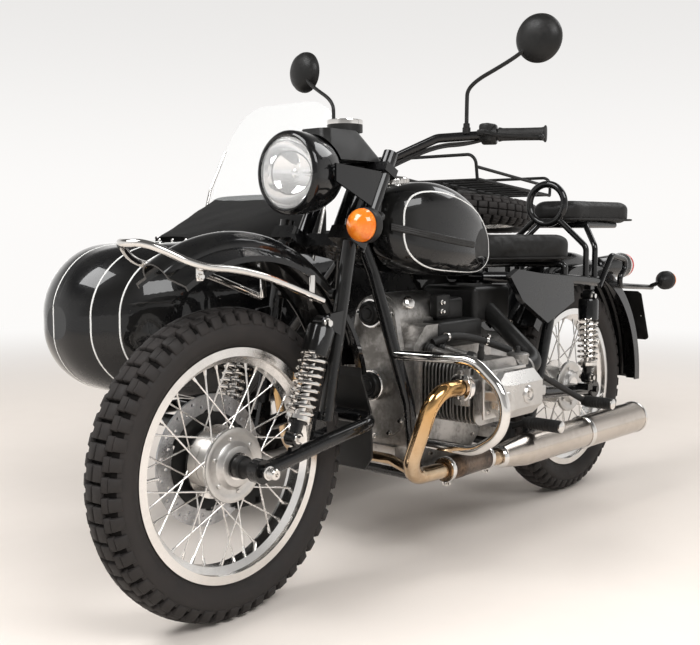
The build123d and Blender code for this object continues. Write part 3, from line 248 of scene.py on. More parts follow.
# Each finish: colour, metallic, roughness, other values of the shader, patches of (scale, least and most
# roughness, second colour), and grain of (scale, swell, strength, distance)
FINISH_ROWS = {
    # stoved enamel under a clear gloss
    "black_paint": ((0.004, 0.004, 0.0045), 0, 0.3,
                    {"Specular_IOR_Level": 0.1, "Coat_Weight": 1.0, "Coat_Roughness": 0.025, "Coat_IOR": 1.4},
                    (5, 0.2, 0.36, (0.007, 0.0068, 0.0065)), (60, 9, 0.02, 0.002)),
    "satin_black": ((0.009, 0.0088, 0.0085), 0, 0.42, {"Specular_IOR_Level": 0.25},
                    (14, 0.36, 0.52, (0.015, 0.0145, 0.014)), (900, 60, 0.08, 0.0006)),
    "cast_alloy": ((0.44, 0.425, 0.41), 1, 0.42, {},
                   (11, 0.32, 0.56, (0.25, 0.24, 0.225)), (420, 50, 0.22, 0.0012)),
    "polished_alloy": ((0.80, 0.785, 0.765), 1, 0.18, {},
                       (8, 0.16, 0.23, (0.74, 0.725, 0.705)), (300, 30, 0.012, 0.0008)),
    # die-cast covers, smooth with a soft sheen
    "satin_alloy": ((0.60, 0.585, 0.565), 1, 0.3, {},
                    (10, 0.27, 0.35, (0.55, 0.535, 0.515)), (380, 40, 0.016, 0.0008)),
    # turned hubs, pale and even with a dull sheen
    "hub_alloy": ((0.62, 0.605, 0.585), 1, 0.42, {},
                  (14, 0.38, 0.48, (0.56, 0.545, 0.525)), (380, 40, 0.03, 0.0008)),
    "bright_steel": ((0.76, 0.74, 0.715), 1, 0.09, {}, (7, 0.06, 0.11, (0.71, 0.69, 0.665)), ()),
    # muffler skin, plated and a little brown
    "warm_nickel": ((0.60, 0.545, 0.49), 1, 0.22, {},
                    (6, 0.18, 0.26, (0.55, 0.495, 0.44)), (160, 14, 0.014, 0.001)),
    # front can of the exhaust, browned by heat
    "burnt_steel": ((0.16, 0.11, 0.075), 1, 0.34, {},
                    (18, 0.28, 0.5, (0.07, 0.05, 0.04)), (300, 30, 0.06, 0.0008)),
    "plain_steel": ((0.42, 0.42, 0.43), 1, 0.34, {},
                    (20, 0.26, 0.48, (0.3, 0.3, 0.3)), (500, 40, 0.06, 0.0006)),
    "heat_tinted": ((0.58, 0.46, 0.33), 1, 0.14, {}, (9, 0.08, 0.22, (0.46, 0.33, 0.21)), ()),
    "tyre_rubber": ((0.020, 0.0175, 0.0165), 0, 0.72, {"Specular_IOR_Level": 0.3},
                    (22, 0.6, 0.85, (0.030, 0.026, 0.0245)), (700, 60, 0.12, 0.0008)),
    # ground between the tread's blocks, darkened as painted shade because little light comes there
    "groove_painted_shade": ((0.005, 0.0045, 0.0043), 0, 0.9, {"Specular_IOR_Level": 0.08},
                      (22, 0.8, 0.95, (0.009, 0.008, 0.0075)), (700, 60, 0.12, 0.0008)),
    "soft_rubber": ((0.013, 0.0125, 0.012), 0, 0.55, {"Specular_IOR_Level": 0.35},
                    (30, 0.46, 0.68, (0.022, 0.0215, 0.021)), (900, 80, 0.1, 0.0005)),
    "vinyl": ((0.009, 0.0085, 0.008), 0, 0.48, {"Specular_IOR_Level": 0.22},
              (12, 0.42, 0.58, (0.016, 0.0155, 0.015)), ()),
    "canvas": ((0.010, 0.0097, 0.0095), 0, 0.8, {"Specular_IOR_Level": 0.25},
               (9, 0.66, 0.86, (0.017, 0.0165, 0.016)), ()),
    "clear_screen": ((0.93, 0.96, 0.96), 0, 0.03, {"Alpha": 0.13, "IOR": 1.49}, (4, 0.02, 0.06), ()),
    "lamp_glass": ((0.97, 0.98, 0.98), 0, 0.02, {"Alpha": 0.3, "IOR": 1.5}, (10, 0.01, 0.05), ()),
    "amber_lens": ((0.86, 0.19, 0.012), 0, 0.14, {"Coat_Weight": 0.6}, (30, 0.1, 0.22, (0.95, 0.3, 0.03)),
                   ()),
    "red_lens": ((0.5, 0.008, 0.008), 0, 0.14, {"Coat_Weight": 0.6}, (30, 0.1, 0.22, (0.62, 0.02, 0.015)),
                 ()),
    "mirror_bowl": ((0.92, 0.92, 0.92), 1, 0.05, {}, (12, 0.03, 0.09), ()),
    "fluted_glass": ((0.97, 0.98, 0.98), 0, 0.04, {"Alpha": 0.2, "IOR": 1.5}, (10, 0.02, 0.07), ()),
    "white_line": ((0.86, 0.86, 0.84), 0, 0.35, {}, (40, 0.3, 0.45, (0.78, 0.78, 0.76)), ()),
    "white_enamel": ((0.82, 0.82, 0.80), 0, 0.3, {"Coat_Weight": 0.5}, (8, 0.25, 0.42, (0.74, 0.74, 0.72)),
                     ()),
}
HEAT_FROM = mm(250)
HEAT_TO = mm(470)


def heat_tint(finish):
    """Straw and bronze near the cylinder head, plainer further down."""
    split = finish.tree.nodes.new("ShaderNodeSeparateXYZ")
    finish.tree.links.new(own_place(finish.tree), split.inputs["Vector"])
    warm = ramp_between(finish.tree, split.outputs["Z"], HEAT_FROM, HEAT_TO, 0.1, 0.95)
    finish.tint(warm, (0.60, 0.355, 0.14))


def flutes(finish):
    """Upright flutes of a lamp glass."""
    wave = finish.tree.nodes.new("ShaderNodeTexWave")
    wave.bands_direction = "Y"
    wave.inputs["Scale"].default_value = 24
    finish.tree.links.new(own_place(finish.tree), wave.inputs["Vector"])
    finish.bumped(wave.outputs["Fac"], 0.4, 0.004)


def finishes():
    made = {}
    for name, (colour, metallic, roughness, plain, patch, grain) in FINISH_ROWS.items():
        made[name] = Finish(name, colour, metallic, roughness, **plain).patchy(*patch)
        if grain:
            made[name].grained(*grain)
    made["vinyl"].bumped(made["vinyl"].placed(PEBBLE, Scale=480).outputs["Height"], 0.18, 0.0006)
    made["canvas"].bumped(made["canvas"].placed(WEAVE, Scale=700).outputs["Height"], 0.25, 0.0006)
    heat_tint(made["heat_tinted"])
    flutes(made["fluted_glass"])
    return {name: finish.material for name, finish in made.items()}


FINISHES = finishes()
NODE_FINISH = {
    "black_paint": ("frame fuel_tank saddle_mounts rear_fender tail_rails side_panels swingarm sidecar_body "
                    "sidecar_tail sidecar_frame sidecar_cross_tubes sidecar_arm sidecar_fender fork "
                    "leading_link front_fender headlamp handlebar trunk_lid"),
    "satin_black": "intake instrument_pod hand_controls mirrors luggage_rack number_plate",
    "cast_alloy": "crankcase gearbox cylinders final_drive",
    "satin_alloy": "valve_covers",
    "polished_alloy": "front_wheel rear_wheel sidecar_wheel spare_wheel",
    "bright_steel": "crash_bar screen_posts fender_rail",
    "warm_nickel": "mufflers",
    "heat_tinted": "exhaust_headers",
    "plain_steel": "rear_shocks sidecar_shock front_shocks brake_caliper brake_disc pedals",
    "tyre_rubber": "front_tyre rear_tyre sidecar_tyre spare_tyre",
    "soft_rubber": "footrests front_mudflap",
    "vinyl": "rider_saddle passenger_saddle sidecar_seat",
    "canvas": "tonneau",
    "clear_screen": "windshield",
    "lamp_glass": "headlamp_lens",
    "amber_lens": "front_signal sidecar_lamps",
    "red_lens": "rear_lamps",
}
for finish, names in NODE_FINISH.items():
    for node in names.split():
        mesh = nodes[node].data
        mesh.materials.clear()
        mesh.materials.append(FINISHES[finish])


# Making of pieces

def shown(name, data):
    """A new object in the scene."""
    made = bpy.data.objects.new(name, data)
    bpy.context.scene.collection.objects.link(made)
    return made


def placed(name, bm, body, finish, replaced=(), sharp=35):
    """Turn a bmesh into a piece that rides on a body."""
    mesh = bpy.data.meshes.new(name)
    bm.to_mesh(mesh)
    bm.free()
    mesh.materials.append(FINISHES[finish])
    mesh.shade_smooth()
    mesh.set_sharp_from_angle(angle=radians(sharp))
    piece = shown(name, mesh)
    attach(piece, body)
    if replaced:
        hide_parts(*replaced)
    return piece


def added(bm, old):
    """The points that a bmesh has gained."""
    return [v for v in bm.verts if v not in old]


def edges_of(verts):
    return list({e for v in verts for e in v.link_edges})


def faces_of(verts):
    return list({f for v in verts for f in v.link_faces})


def around(bm, verts, centre, axis, count):
    """Copies of some points with their edges and faces, turned about an axis, until there are count in all."""
    geom = verts + edges_of(verts) + faces_of(verts)
    for step in range(1, count):
        copy = bmesh.ops.duplicate(bm, geom=geom)
        bmesh.ops.rotate(bm, cent=centre, matrix=Matrix.Rotation(2 * pi * step / count, 3, axis),
                         verts=[g for g in copy["geom"] if isinstance(g, bmesh.types.BMVert)])


def turned(bm, origin, axis, profile, steps, closed=False):
    """Spin a profile of (along the axis, radius) pairs into a closed ring or shell."""
    old = set(bm.verts)
    axis = Vector(axis).normalized()
    side = axis.orthogonal().normalized()
    line = [bm.verts.new(origin + axis * mm(along) + side * mm(radius)) for along, radius in profile]
    edges = [bm.edges.new(pair) for pair in zip(line, line[1:])]
    if closed:
        edges.append(bm.edges.new((line[-1], line[0])))
    bmesh.ops.spin(bm, geom=line + edges, cent=origin, axis=axis, angle=2 * pi, steps=steps, use_merge=True)
    bmesh.ops.remove_doubles(bm, verts=added(bm, old), dist=1e-6)
    bmesh.ops.recalc_face_normals(bm, faces=faces_of(added(bm, old)))


def lathe(name, body, finish, *runs, replaced=(), sharp=35):
    """A piece of turned profiles alone, each given as turned takes it."""
    bm = bmesh.new()
    for run in runs:
        turned(bm, *run)
    placed(name, bm, body, finish, replaced, sharp)


def curve_mesh(points, smooth, radius=0, sides=0, closed=False):
    """A smooth line along its control points, or a round bar if it has a radius."""
    line = bpy.data.curves.new("run", "CURVE")
    line.dimensions = "3D"
    line.bevel_depth = mm(radius)
    line.bevel_resolution = sides
    line.use_fill_caps = radius > 0
    spline = line.splines.new("NURBS" if len(points) > 2 else "POLY")
    spline.points.add(len(points) - 1)
    for knot, point in zip(spline.points, points):
        knot.co = (*point, 1)
    if len(points) > 2:
        spline.order_u = 3
        spline.use_endpoint_u = not closed
        spline.use_cyclic_u = closed
        spline.resolution_u = smooth
    holder = bpy.data.objects.new("run", line)
    mesh = bpy.data.meshes.new_from_object(holder)
    bpy.data.objects.remove(holder)
    bpy.data.curves.remove(line)
    return mesh


def rod(bm, points, radius, sides=3, smooth=8):
    """A round bar along a smooth line."""
    mesh = curve_mesh(points, smooth, radius, sides)
    bm.from_mesh(mesh)
    bpy.data.meshes.remove(mesh)


def slab(bm, middle, size, edge, turn=Matrix.Identity(4), segments=2):
    """A box with rounded edges; middle in the part's frame, sizes in millimetres."""
    scale = Matrix.Diagonal((*(mm(s) for s in size), 1))
    made = bmesh.ops.create_cube(bm, size=1, matrix=Matrix.Translation(middle) @ turn @ scale)
    if edge:
        bmesh.ops.bevel(bm, geom=edges_of(made["verts"]), offset=mm(edge), affect="EDGES", segments=segments,
                        profile=0.5, material=-1)


def along(axis):
    """A turn that takes Z to the axis."""
    return Vector(UP).rotation_difference(Vector(axis)).to_matrix().to_4x4()


def stub(bm, segments, radii, depth, place, turn):
    """A short capped cone with its middle at the place."""
    bmesh.ops.create_cone(bm, cap_ends=True, segments=segments, radius1=mm(radii[0]), radius2=mm(radii[1]),
                          depth=mm(depth), matrix=Matrix.Translation(place) @ turn)


def bolt(bm, place, axis, size, height=None):
    """A hexagon head on a washer, with its height taken from its size unless it is given."""
    axis = Vector(axis).normalized()
    high = height or 0.62 * size
    turn = along(axis)
    stub(bm, 16, (size * 0.78, size * 0.74), WASHER, place + axis * mm(WASHER / 2), turn)
    stub(bm, 6, (size * 0.58, size * 0.52), high, place + axis * mm(WASHER + high / 2), turn)


def coil(bm, low, high, radius, wire, turns):
    """A round wire wound about the line from low to high."""
    old = set(bm.verts)
    run = high - low
    axis = run.normalized()
    side = axis.orthogonal().normalized()
    hoop = bmesh.ops.create_circle(bm, segments=WIRE_SIDES, radius=mm(wire), matrix=Matrix.Translation(
        low + side * mm(radius)) @ along(axis.cross(side)))
    steps = turns * COIL_STEPS
    bmesh.ops.spin(bm, geom=edges_of(hoop["verts"]), cent=low, axis=axis, dvec=run / steps,
                   angle=2 * pi * turns,
                   steps=steps)
    fresh = added(bm, old)
    bmesh.ops.holes_fill(bm, edges=[e for e in edges_of(fresh) if e.is_boundary], sides=WIRE_SIDES)
    bmesh.ops.recalc_face_normals(bm, faces=faces_of(fresh))


# Wheels: casing, tread blocks, nipples and hub bolts

CASING = [
    (32, 242), (32, 257), (38, 262), (41, 263), (44, 270), (46, 271), (50, 284), (51.5, 296), (49.5, 305),
          (44, 314.5), (37, 322), (27, 328), (14, 330.6), (0, 331.2)]
# Blocks around a tyre, and the radius in metres from which its ground is darkened as painted shade
TREAD_PITCH = 52
PAINTED_SHADE_FROM = 0.3165
# Across, radius, half width, half length, depth, lean outwards, halves of the pitch
TREAD_BLOCKS = ((13.4, 340.2, 12, 17.4, 13, 9, 0), (31.6, 334.6, 7.6, 16, 13, 29, 1),
                (46.6, 319.4, 13.4, 14, 9, 67, 1))
# Spokes of one flange, their turn from hub to rim in degrees, and the circles that they run between
SPOKES = 18
SPOKE_SWEEP = 35
FLANGE_R = 74
RIM_R = 225


def tyre_mesh():
    """One tyre about its own middle, with the axle along Y."""
    bm = bmesh.new()
    turned(bm, CENTRE, LEFT, CASING + [(-y, r) for y, r in CASING[-2::-1]], steps=96)
    # faces of the casing past that radius take the second material, painted shade between the blocks
    for face in bm.faces:
        middle = face.calc_center_median()
        face.material_index = int(Vector((middle.x, middle.z)).length > PAINTED_SHADE_FROM)
    old = set(bm.verts)
    for side in SIDES:
        for y, r, wide, length, deep, lean, shift in TREAD_BLOCKS:
            turn = Matrix.Rotation(pi / TREAD_PITCH * shift, 4, "Y")
            turn = turn @ Matrix.Translation((0, side * mm(y), mm(r)))
            turn = turn @ Matrix.Rotation(radians(-side * lean), 4, "X")
            turn = turn @ Matrix.Translation((0, 0, -mm(deep / 2)))
            made = bmesh.ops.create_cube(bm, size=1, matrix=turn @ Matrix.Diagonal(
                (mm(2 * length), mm(2 * wide), mm(deep), 1)))
            top = [v for v in made["verts"] if (turn.inverted() @ v.co).z > 0]
            bmesh.ops.scale(bm, vec=(0.92, 0.95, 1), space=turn.inverted(), verts=top)
            edges = [e for e in edges_of(made["verts"]) if any(v in top for v in e.verts)]
            bmesh.ops.bevel(bm, geom=edges, offset=mm(1.6), affect="EDGES", segments=1, profile=0.5,
                            material=-1)
    around(bm, added(bm, old), CENTRE, "Y", TREAD_PITCH)
    return bm


def wheel_places():
    places = {name: (Matrix.Translation(at(*spot)), body) for name, (spot, body) in WHEELS.items()}
    lying = Matrix.Rotation(-SPARE_TILT, 4, "Y") @ Matrix.Rotation(radians(90), 4, "X")
    places["spare"] = (Matrix.Translation(at(*SPARE)) @ lying, "trunk_lid")
    return places


def on_wheels(whole, word, finish, replaced="", sharp=35):
    """A copy of one mesh on every wheel and on the spare."""
    made = []
    for name, (place, body) in wheel_places().items():
        bm = whole.copy()
        bmesh.ops.transform(bm, matrix=place, verts=bm.verts)
        gone = (f"{name}_{replaced}",) if replaced else ()
        made.append(placed(f"{name}_{word}", bm, body, finish, gone, sharp))
    whole.free()
    return made


def tyres():
    for tyre in on_wheels(tyre_mesh(), "tread", "tyre_rubber", "tyre", 50):
        # the second material paints shade on the ground between the blocks
        tyre.data.materials.append(FINISHES["groove_painted_shade"])


def wheel_trim():
    """Spoke nipples in the rim's well, the tube's valve, and the hub's barrel with its bolted plate."""
    whole = bmesh.new()
    for flange_y, rim_y, turn in ((25, 5, 0), (-31, -5, 20)):
        for hole in range(SPOKES):
            angle = 360 / SPOKES * hole + turn
            a = radians(angle)
            b = radians(angle + (SPOKE_SWEEP if hole % 2 == 0 else -SPOKE_SWEEP))
            start = Vector((FLANGE_R * cos(a), flange_y, FLANGE_R * sin(a)))
            end = Vector((RIM_R * cos(b), rim_y, RIM_R * sin(b)))
            inward = (start - end).normalized()
            place = end / 1000 + inward * mm(9)
            stub(whole, 8, (4.2, 3), 18, place, along(inward))
    plate = bmesh.new()
    turned(plate, CENTRE, LEFT, [
        (28.2, 40), (28.2, 81), (29.6, 82), (31.4, 81), (32, 79), (31.6, 68), (30.6, 66), (30.6, 53),
        (33, 50), (41, 46), (43.6, 44), (44.4, 41), (44.4, 30), (40, 30)], 64, closed=True)
    turned(plate, CENTRE, LEFT, [(-27.4, 56), (-27.4, 58.8), (21.4, 58.8), (21.4, 56)], 64, closed=True)
    for hole in range(6):
        a = radians(60 * hole + 20)
        turned(plate, Vector((mm(59 * cos(a)), mm(30.4), mm(59 * sin(a)))), LEFT, [
            (0, 5.4), (3, 5.4), (4.2, 4), (4.4, 0)], 12)
    stem = Vector((mm(222), 0, 0))
    turned(whole, stem, BACK, [
        (0, 0), (0, 5), (12, 5), (13, 3.6), (34, 3.6), (35, 4.4), (40, 4.4), (40, 0)], 12)
    on_wheels(whole, "wheel_trim", "polished_alloy")
    on_wheels(plate, "hub_plate", "hub_alloy")


# Spring struts

# Share of a strut's length that its shroud covers
SHROUD_SHARE = 0.27
SPRING_TURNS = 8


def strut(name, body, low, high, cover_r, coil_r, replaced):
    """A damper, its spring, and a shroud at the top, between two eyes."""
    run = high - low
    length = run.length * 1000
    axis = run.normalized()
    metal = bmesh.new()
    seat = 0.2 * length
    top = (1 - SHROUD_SHARE) * length
    turned(metal, low, axis, [
        (seat - 13, 0), (seat - 13, cover_r - 4), (seat - 11, cover_r - 2), (seat - 2, cover_r - 2),
        (seat - 2, 12), (0.5 * length, 12), (0.5 * length, 7), (top, 7), (top, 0)], 28)
    coil(metal, low + axis * mm(seat + 2), low + axis * mm(top - 1), coil_r - 3.6, 4.3, SPRING_TURNS)
    placed(f"{name}_spring", metal, body, "bright_steel")
    dark = bmesh.new()
    turned(dark, low, axis, [
        (8, 0), (8, 13), (0.12 * length, 14), (0.12 * length, 20), (seat - 13.5, 21), (seat - 13.5, 0)], 28)
    turned(dark, low, axis, [
        (top - 6, 0), (top - 6, cover_r - 1.5), (top - 4, cover_r), (0.94 * length, cover_r),
        (0.965 * length, cover_r - 3), (0.97 * length, 15), (0.99 * length, 13), (0.99 * length, 0)], 32)
    for end in (low, high):
        turned(dark, end - Vector((0, mm(15), 0)), LEFT, [
            (0, 0), (0, 15), (1.5, 17), (28.5, 17), (30, 15), (30, 0)], 24)
    placed(f"{name}_shroud", dark, body, "black_paint")
    pins = bmesh.new()
    for end in (low, high):
        for side in SIDES:
            bolt(pins, end + Vector((0, side * mm(15), 0)), (0, side, 0), 15, 8)
    placed(f"{name}_pins", pins, body, "bright_steel", (replaced,))


def struts():
    for side, word in zip(SIDES, ("left", "right")):
        strut(f"front_{word}", "steering", at(1384, side * 115, 398), at(1290, side * 115, 643), 32, 33,
              "front_shocks")
        strut(f"rear_{word}", "chassis", at(86, side * 136, 391.3), at(88, side * 136, 648), 31, 31.5,
              "rear_shocks")
    strut("sidecar", "chassis", at(330, -1040, 367), at(304, -1026, 628), 27, 25, "sidecar_shock")


# Rail around the front fender

RAIL_SIDE = [
    (1273, 100, 690.5), (1354, 99, 719), (1435, 98, 748), (1533, 97, 768), (1608, 96, 773), (1655, 85, 788),
    (1692, 62, 811), (1718, 36, 823), (1731, 10, 822)]


def fender_rail():
    rail = bmesh.new()
    run = RAIL_SIDE + [(x, -y, z) for x, y, z in RAIL_SIDE[::-1]]
    rod(rail, [at(*point) for point in run], 8, sides=4)
    for x, low, high, rail_z in ((1612, 746, 782, 774), (1284, 690, 748, 695)):
        for side in SIDES:
            slab(rail, at(x, side * 79.4, (low + high) / 2), (18, 5, high - low), 1.6)
            turned(rail, at(x, side * 80, rail_z), (0, side, 0), [
                (0, 0), (0, 8), (3, 6), (14, 6), (16, 4), (16, 0)], 18)
            bolt(rail, at(x, side * 82, low + 9), (0, side, 0), 10)
    placed("smooth_fender_rail", rail, "steering", "bright_steel", ("fender_rail",))


# Lamps

LAMP = (1268, 0, 978)
GLASS_THICK = 3
LENS_RINGS = 13
GUARD_R = 402


def headlamp():
    centre = at(*LAMP)
    shell = bmesh.new()
    turned(shell, centre, AHEAD, [
        (-138, 0), (-136.5, 20), (-129, 40), (-114, 59), (-92, 75), (-62, 88), (-20, 95.6), (5, 95.8),
        (5, 93), (-20, 92.6), (-60, 84), (-90, 71), (-112, 55), (-128, 30), (-133, 0)], 64)
    for side in SIDES:
        turned(shell, centre + Vector((mm(-50), 0, 0)), (0, side, 0), [
            (80, 0), (80, 16), (97, 16), (98.5, 14.5), (98.5, 0)], 24)
    placed("headlamp_shell", shell, "steering", "black_paint", ("headlamp",))
    lathe("headlamp_rim", "steering", "black_paint", (centre, AHEAD, [
        (2, 92), (2, 95.9), (9, 96), (15, 95), (20, 91), (22, 87), (21, 84), (17, 82.6), (12, 82.6),
        (12, 90)], 72, True))
    lathe("headlamp_reflector", "steering", "mirror_bowl", (centre, AHEAD, [
        (10, 83), (4, 82), (-12, 76), (-32, 62), (-48, 44), (-57, 24), (-60, 8), (-60, 0)], 72),
          (centre, AHEAD, [(-58, 6), (-24, 6), (-24, 11), (-8, 11), (-5, 8), (-3, 0)], 24))
    dome = [(36, 0), (35.2, 18), (32.8, 36), (28.9, 54), (23.2, 70), (18.2, 81.4)]
    dome += [(x - GLASS_THICK, r) for x, r in dome[::-1]]
    lathe("headlamp_glass", "steering", "fluted_glass", (centre, AHEAD, dome, 72),
          replaced=("headlamp_lens",))


def signal(name, body, centre, axis, radius, replaced, deep):
    """A round lamp: dark cup behind, ringed amber lens in front."""
    lathe(f"{name}_cup", body, "satin_black", (centre, axis, [
        (-52, 0), (-50, 0.3 * radius), (-44, 0.5 * radius), (-26, 0.94 * radius), (-22, radius - 0.5),
        (-4, radius - 0.5), (-3, radius - 3), (-8, radius - 4), (-8, 0)], 40))
    rings = [(-7, radius - 3.4), (-1, radius - 3)]
    for ring in range(1, LENS_RINGS):
        share = ring / LENS_RINGS
        crown = (1 - share ** 2.4) ** 0.5
        rings.append((deep * share - 1.5, (radius - 3) * crown + 0.5))
        rings.append((deep * share - 0.6, (radius - 3.6) * crown))
    rings.append((deep - 0.5, 0.0))
    lathe(f"{name}_lens", body, "amber_lens", (centre, axis, rings, 40), replaced=(replaced,), sharp=50)


def stalk(name, body, run, radius):
    bm = bmesh.new()
    rod(bm, [at(*point) for point in run], radius)
    placed(name, bm, body, "satin_black")


def signals():
    signal("front_signal", "steering", at(1214, 166, 859), AHEAD, 40, "front_signal", 33)
    stalk("front_signal_stalk", "steering", [
        (1104, 113, 884), (1106, 140, 884), (1150, 158, 868), (1178, 166, 859)], 8)
    signal("rear_signal", "chassis", at(-352, 200, 683), BACK, 32, "rear_lamps", 26)
    stalk("rear_signal_stalk", "chassis", [(-336, 200, 683), (-342, 147, 662)], 7)
    middle_x, y, middle_z = SIDECAR_AXLE
    high = middle_z + 0.87 * GUARD_R + 34
    for x, way, word in ((440, 1, "ahead"), (40, -1, "behind")):
        signal(f"sidecar_lamp_{word}", "chassis", at(x, y, high), (way, 0, 0), 26, "sidecar_lamps", 14)
        foot = bmesh.new()
        foot_x = x - way * 12
        foot_top = high - 14
        guard_top = middle_z + (GUARD_R ** 2 - (foot_x - middle_x) ** 2) ** 0.5
        slab(foot, at(foot_x, y, (guard_top + foot_top) / 2), (26, 22, foot_top - guard_top), 3)
        placed(f"sidecar_lamp_foot_{word}", foot, "chassis", "satin_black")


def tail_lamp():
    back = at(-215, 0, 728)
    can = bmesh.new()
    turned(can, back, BACK, [
        (0, 0), (0, 22), (4, 27), (20, 32), (186, 43.5), (192, 44), (196, 43), (196, 0)], 56)
    slab(can, at(-290, 0, 690), (84, 46, 46), 6)
    placed("tail_lamp_can", can, "chassis", "black_paint")
    lathe("tail_lamp_lens", "chassis", "red_lens", (back, BACK, [
        (194, 42), (206, 42), (208, 41), (210, 42), (214, 41), (216, 42), (220, 40), (226, 36), (229, 28),
        (229.6, 0)], 56), sharp=50)
    lathe("tail_lamp_ring", "chassis", "bright_steel",
          (back, BACK, [(190, 40), (190, 44.6), (199, 44.6), (200, 43), (200, 40)], 56, True))


# Cushions

CLOTH_STEPS = 20
CLOTH_PRESSURE = 4
# Height of each saddle's welt and the circles, (x, y, radius), that its outline is drawn around
WELTS = ((768, ((225, 72, 68), (225, -72, 68), (455, 0, 46))),
         (886, ((-205, 58, 68), (-205, -58, 68), (46, -28, 60), (46, 28, 60))))
WELT_STEPS = 72


def cushion(name, node, voxel, cap, shrink):
    """A node's form taken in a little, remeshed, blown up as cloth and held to a small swell."""
    form = bmesh.new()
    form.from_mesh(nodes[node].data)
    bmesh.ops.remove_doubles(form, verts=form.verts, dist=1e-5)
    low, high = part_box(node)
    middle = (Vector(low) + Vector(high)) / 2
    size = Vector(high) - Vector(low)
    share = [1 - 2 * mm(shrink) / s for s in size]
    bmesh.ops.scale(form, vec=share, space=Matrix.Translation(-middle), verts=form.verts)
    mesh = bpy.data.meshes.new(name)
    form.to_mesh(mesh)
    form.free()
    piece = shown(name, mesh)
    net = piece.modifiers.new("net", "REMESH")
    net.mode = "VOXEL"
    net.voxel_size = mm(voxel)
    settled(piece)
    blown(piece, cap)
    mesh = piece.data
    mesh.materials.clear()
    mesh.materials.append(FINISHES["vinyl"])
    mesh.shade_smooth()
    soft = piece.modifiers.new("soft", "SUBSURF")
    soft.levels = 1
    soft.render_levels = 1
    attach(piece, "chassis")
    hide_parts(node)


def settled(piece):
    """Take the piece's modifiers into its mesh."""
    graph = bpy.context.evaluated_depsgraph_get()
    mesh = bpy.data.meshes.new_from_object(piece.evaluated_get(graph))
    old = piece.data
    piece.modifiers.clear()
    piece.data = mesh
    bpy.data.meshes.remove(old)


def blown(piece, cap):
    """Swell the piece as cloth, with no point moving more than the cap, and smooth it."""
    start = [v.co.copy() for v in piece.data.vertices]
    cloth = piece.modifiers.new("air", "CLOTH")
    cloth.settings.quality = 4
    cloth.settings.use_pressure = True
    cloth.settings.uniform_pressure_force = CLOTH_PRESSURE
    cloth.settings.effector_weights.gravity = 0
    cloth.point_cache.frame_start = 1
    cloth.point_cache.frame_end = CLOTH_STEPS
    for step in range(1, CLOTH_STEPS + 1):
        bpy.context.scene.frame_set(step)
    settled(piece)
    for vert, was in zip(piece.data.vertices, start):
        move = vert.co - was
        if move.length > mm(cap):
            vert.co = was + move.normalized() * mm(cap)
    bpy.context.scene.frame_set(1)
    bm = bmesh.new()
    bm.from_mesh(piece.data)
    for _ in range(3):
        bmesh.ops.smooth_vert(bm, verts=bm.verts, factor=0.5, use_axis_x=True, use_axis_y=True,
                              use_axis_z=True)
    bm.to_mesh(piece.data)
    bm.free()


def saddles():
    cushion("rider_saddle_pad", "rider_saddle", 5, 8, 4)
    cushion("passenger_saddle_pad", "passenger_saddle", 5, 8, 4)
    cushion("sidecar_seat_pad", "sidecar_seat", 8, 14, 6)
    welt = bmesh.new()
    for z, hull in WELTS:
        ring = hull_ring(hull)
        rod(welt, [at(x, y, z) for x, y in ring + ring[:1]], 3.2, sides=2, smooth=3)
    placed("saddle_welts", welt, "chassis", "vinyl")


def hull_ring(circles):
    """Points around the band that is drawn tight about some circles of (x, y, radius)."""
    points = []
    for step in range(WELT_STEPS):
        a = 2 * pi * step / WELT_STEPS
        x, y, r = max(circles, key=lambda c: c[0] * cos(a) + c[1] * sin(a) + c[2])
        points.append((x + r * cos(a), y + r * sin(a)))
    return points


# Lines and pads laid on a node's surface

TREES = {}


def surface(node):
    """A node's faces, sorted once for casting rays at them."""
    if node not in TREES:
        bm = bmesh.new()
        bm.from_mesh(nodes[node].data)
        bmesh.ops.remove_doubles(bm, verts=bm.verts, dist=1e-6)
        TREES[node] = BVHTree.FromBMesh(bm)
        bm.free()
    return TREES[node]


def cast(node, start, way, lift):
    """Where a ray meets the node, lifted off it."""
    hit, normal, _, _ = surface(node).ray_cast(start, Vector(way).normalized())
    if hit is None:
        return None
    if normal.dot(Vector(way)) > 0:
        normal = -normal
    return hit + normal * mm(lift)


def ring_points(corners, count):
    """Points on a smooth closed line along its control corners."""
    mesh = curve_mesh([(*corner, 0) for corner in corners], max(2, count // len(corners)), closed=True)
    points = [(v.co.x, v.co.y) for v in mesh.vertices]
    bpy.data.meshes.remove(mesh)
    return points


STRIPE_CORNERS = [
    (984, 862), (984, 905), (952, 942), (880, 946), (800, 928), (720, 902), (660, 868), (622, 822),
    (612, 772), (632, 742), (690, 737), (800, 743), (900, 752), (958, 778), (984, 815)]
PAD_CORNERS = [(742, 812), (716, 850), (672, 858), (632, 832), (616, 790), (640, 762), (690, 760), (732, 774)]
PAD_THICK = 7
PAD_ROUND = 6
STRIP_RUN = [(1004, 857), (986, 851), (950, 842), (892, 830), (815, 819), (752, 813)]


def tank_trim():
    stripes = bmesh.new()
    pads = bmesh.new()
    for side in SIDES:
        ring = ring_points(STRIPE_CORNERS, 120)
        laid = [cast("fuel_tank", at(x, side * 400, z), (0, -side, 0), -1.9) for x, z in ring]
        laid = [p for p in laid if p is not None]
        rod(stripes, laid + laid[:1], 3.1, smooth=2)
        knee_pad(pads, side)
        laid = [cast("fuel_tank", at(x, side * 400, z), (0, -side, 0), 1.5) for x, z in STRIP_RUN]
        for lift in (-5, 0, 5):
            rod(pads, [p + Vector((0, 0, mm(lift))) for p in laid], 4.6)
    placed("tank_stripes", stripes, "chassis", "white_line")
    placed("knee_pads", pads, "chassis", "soft_rubber")


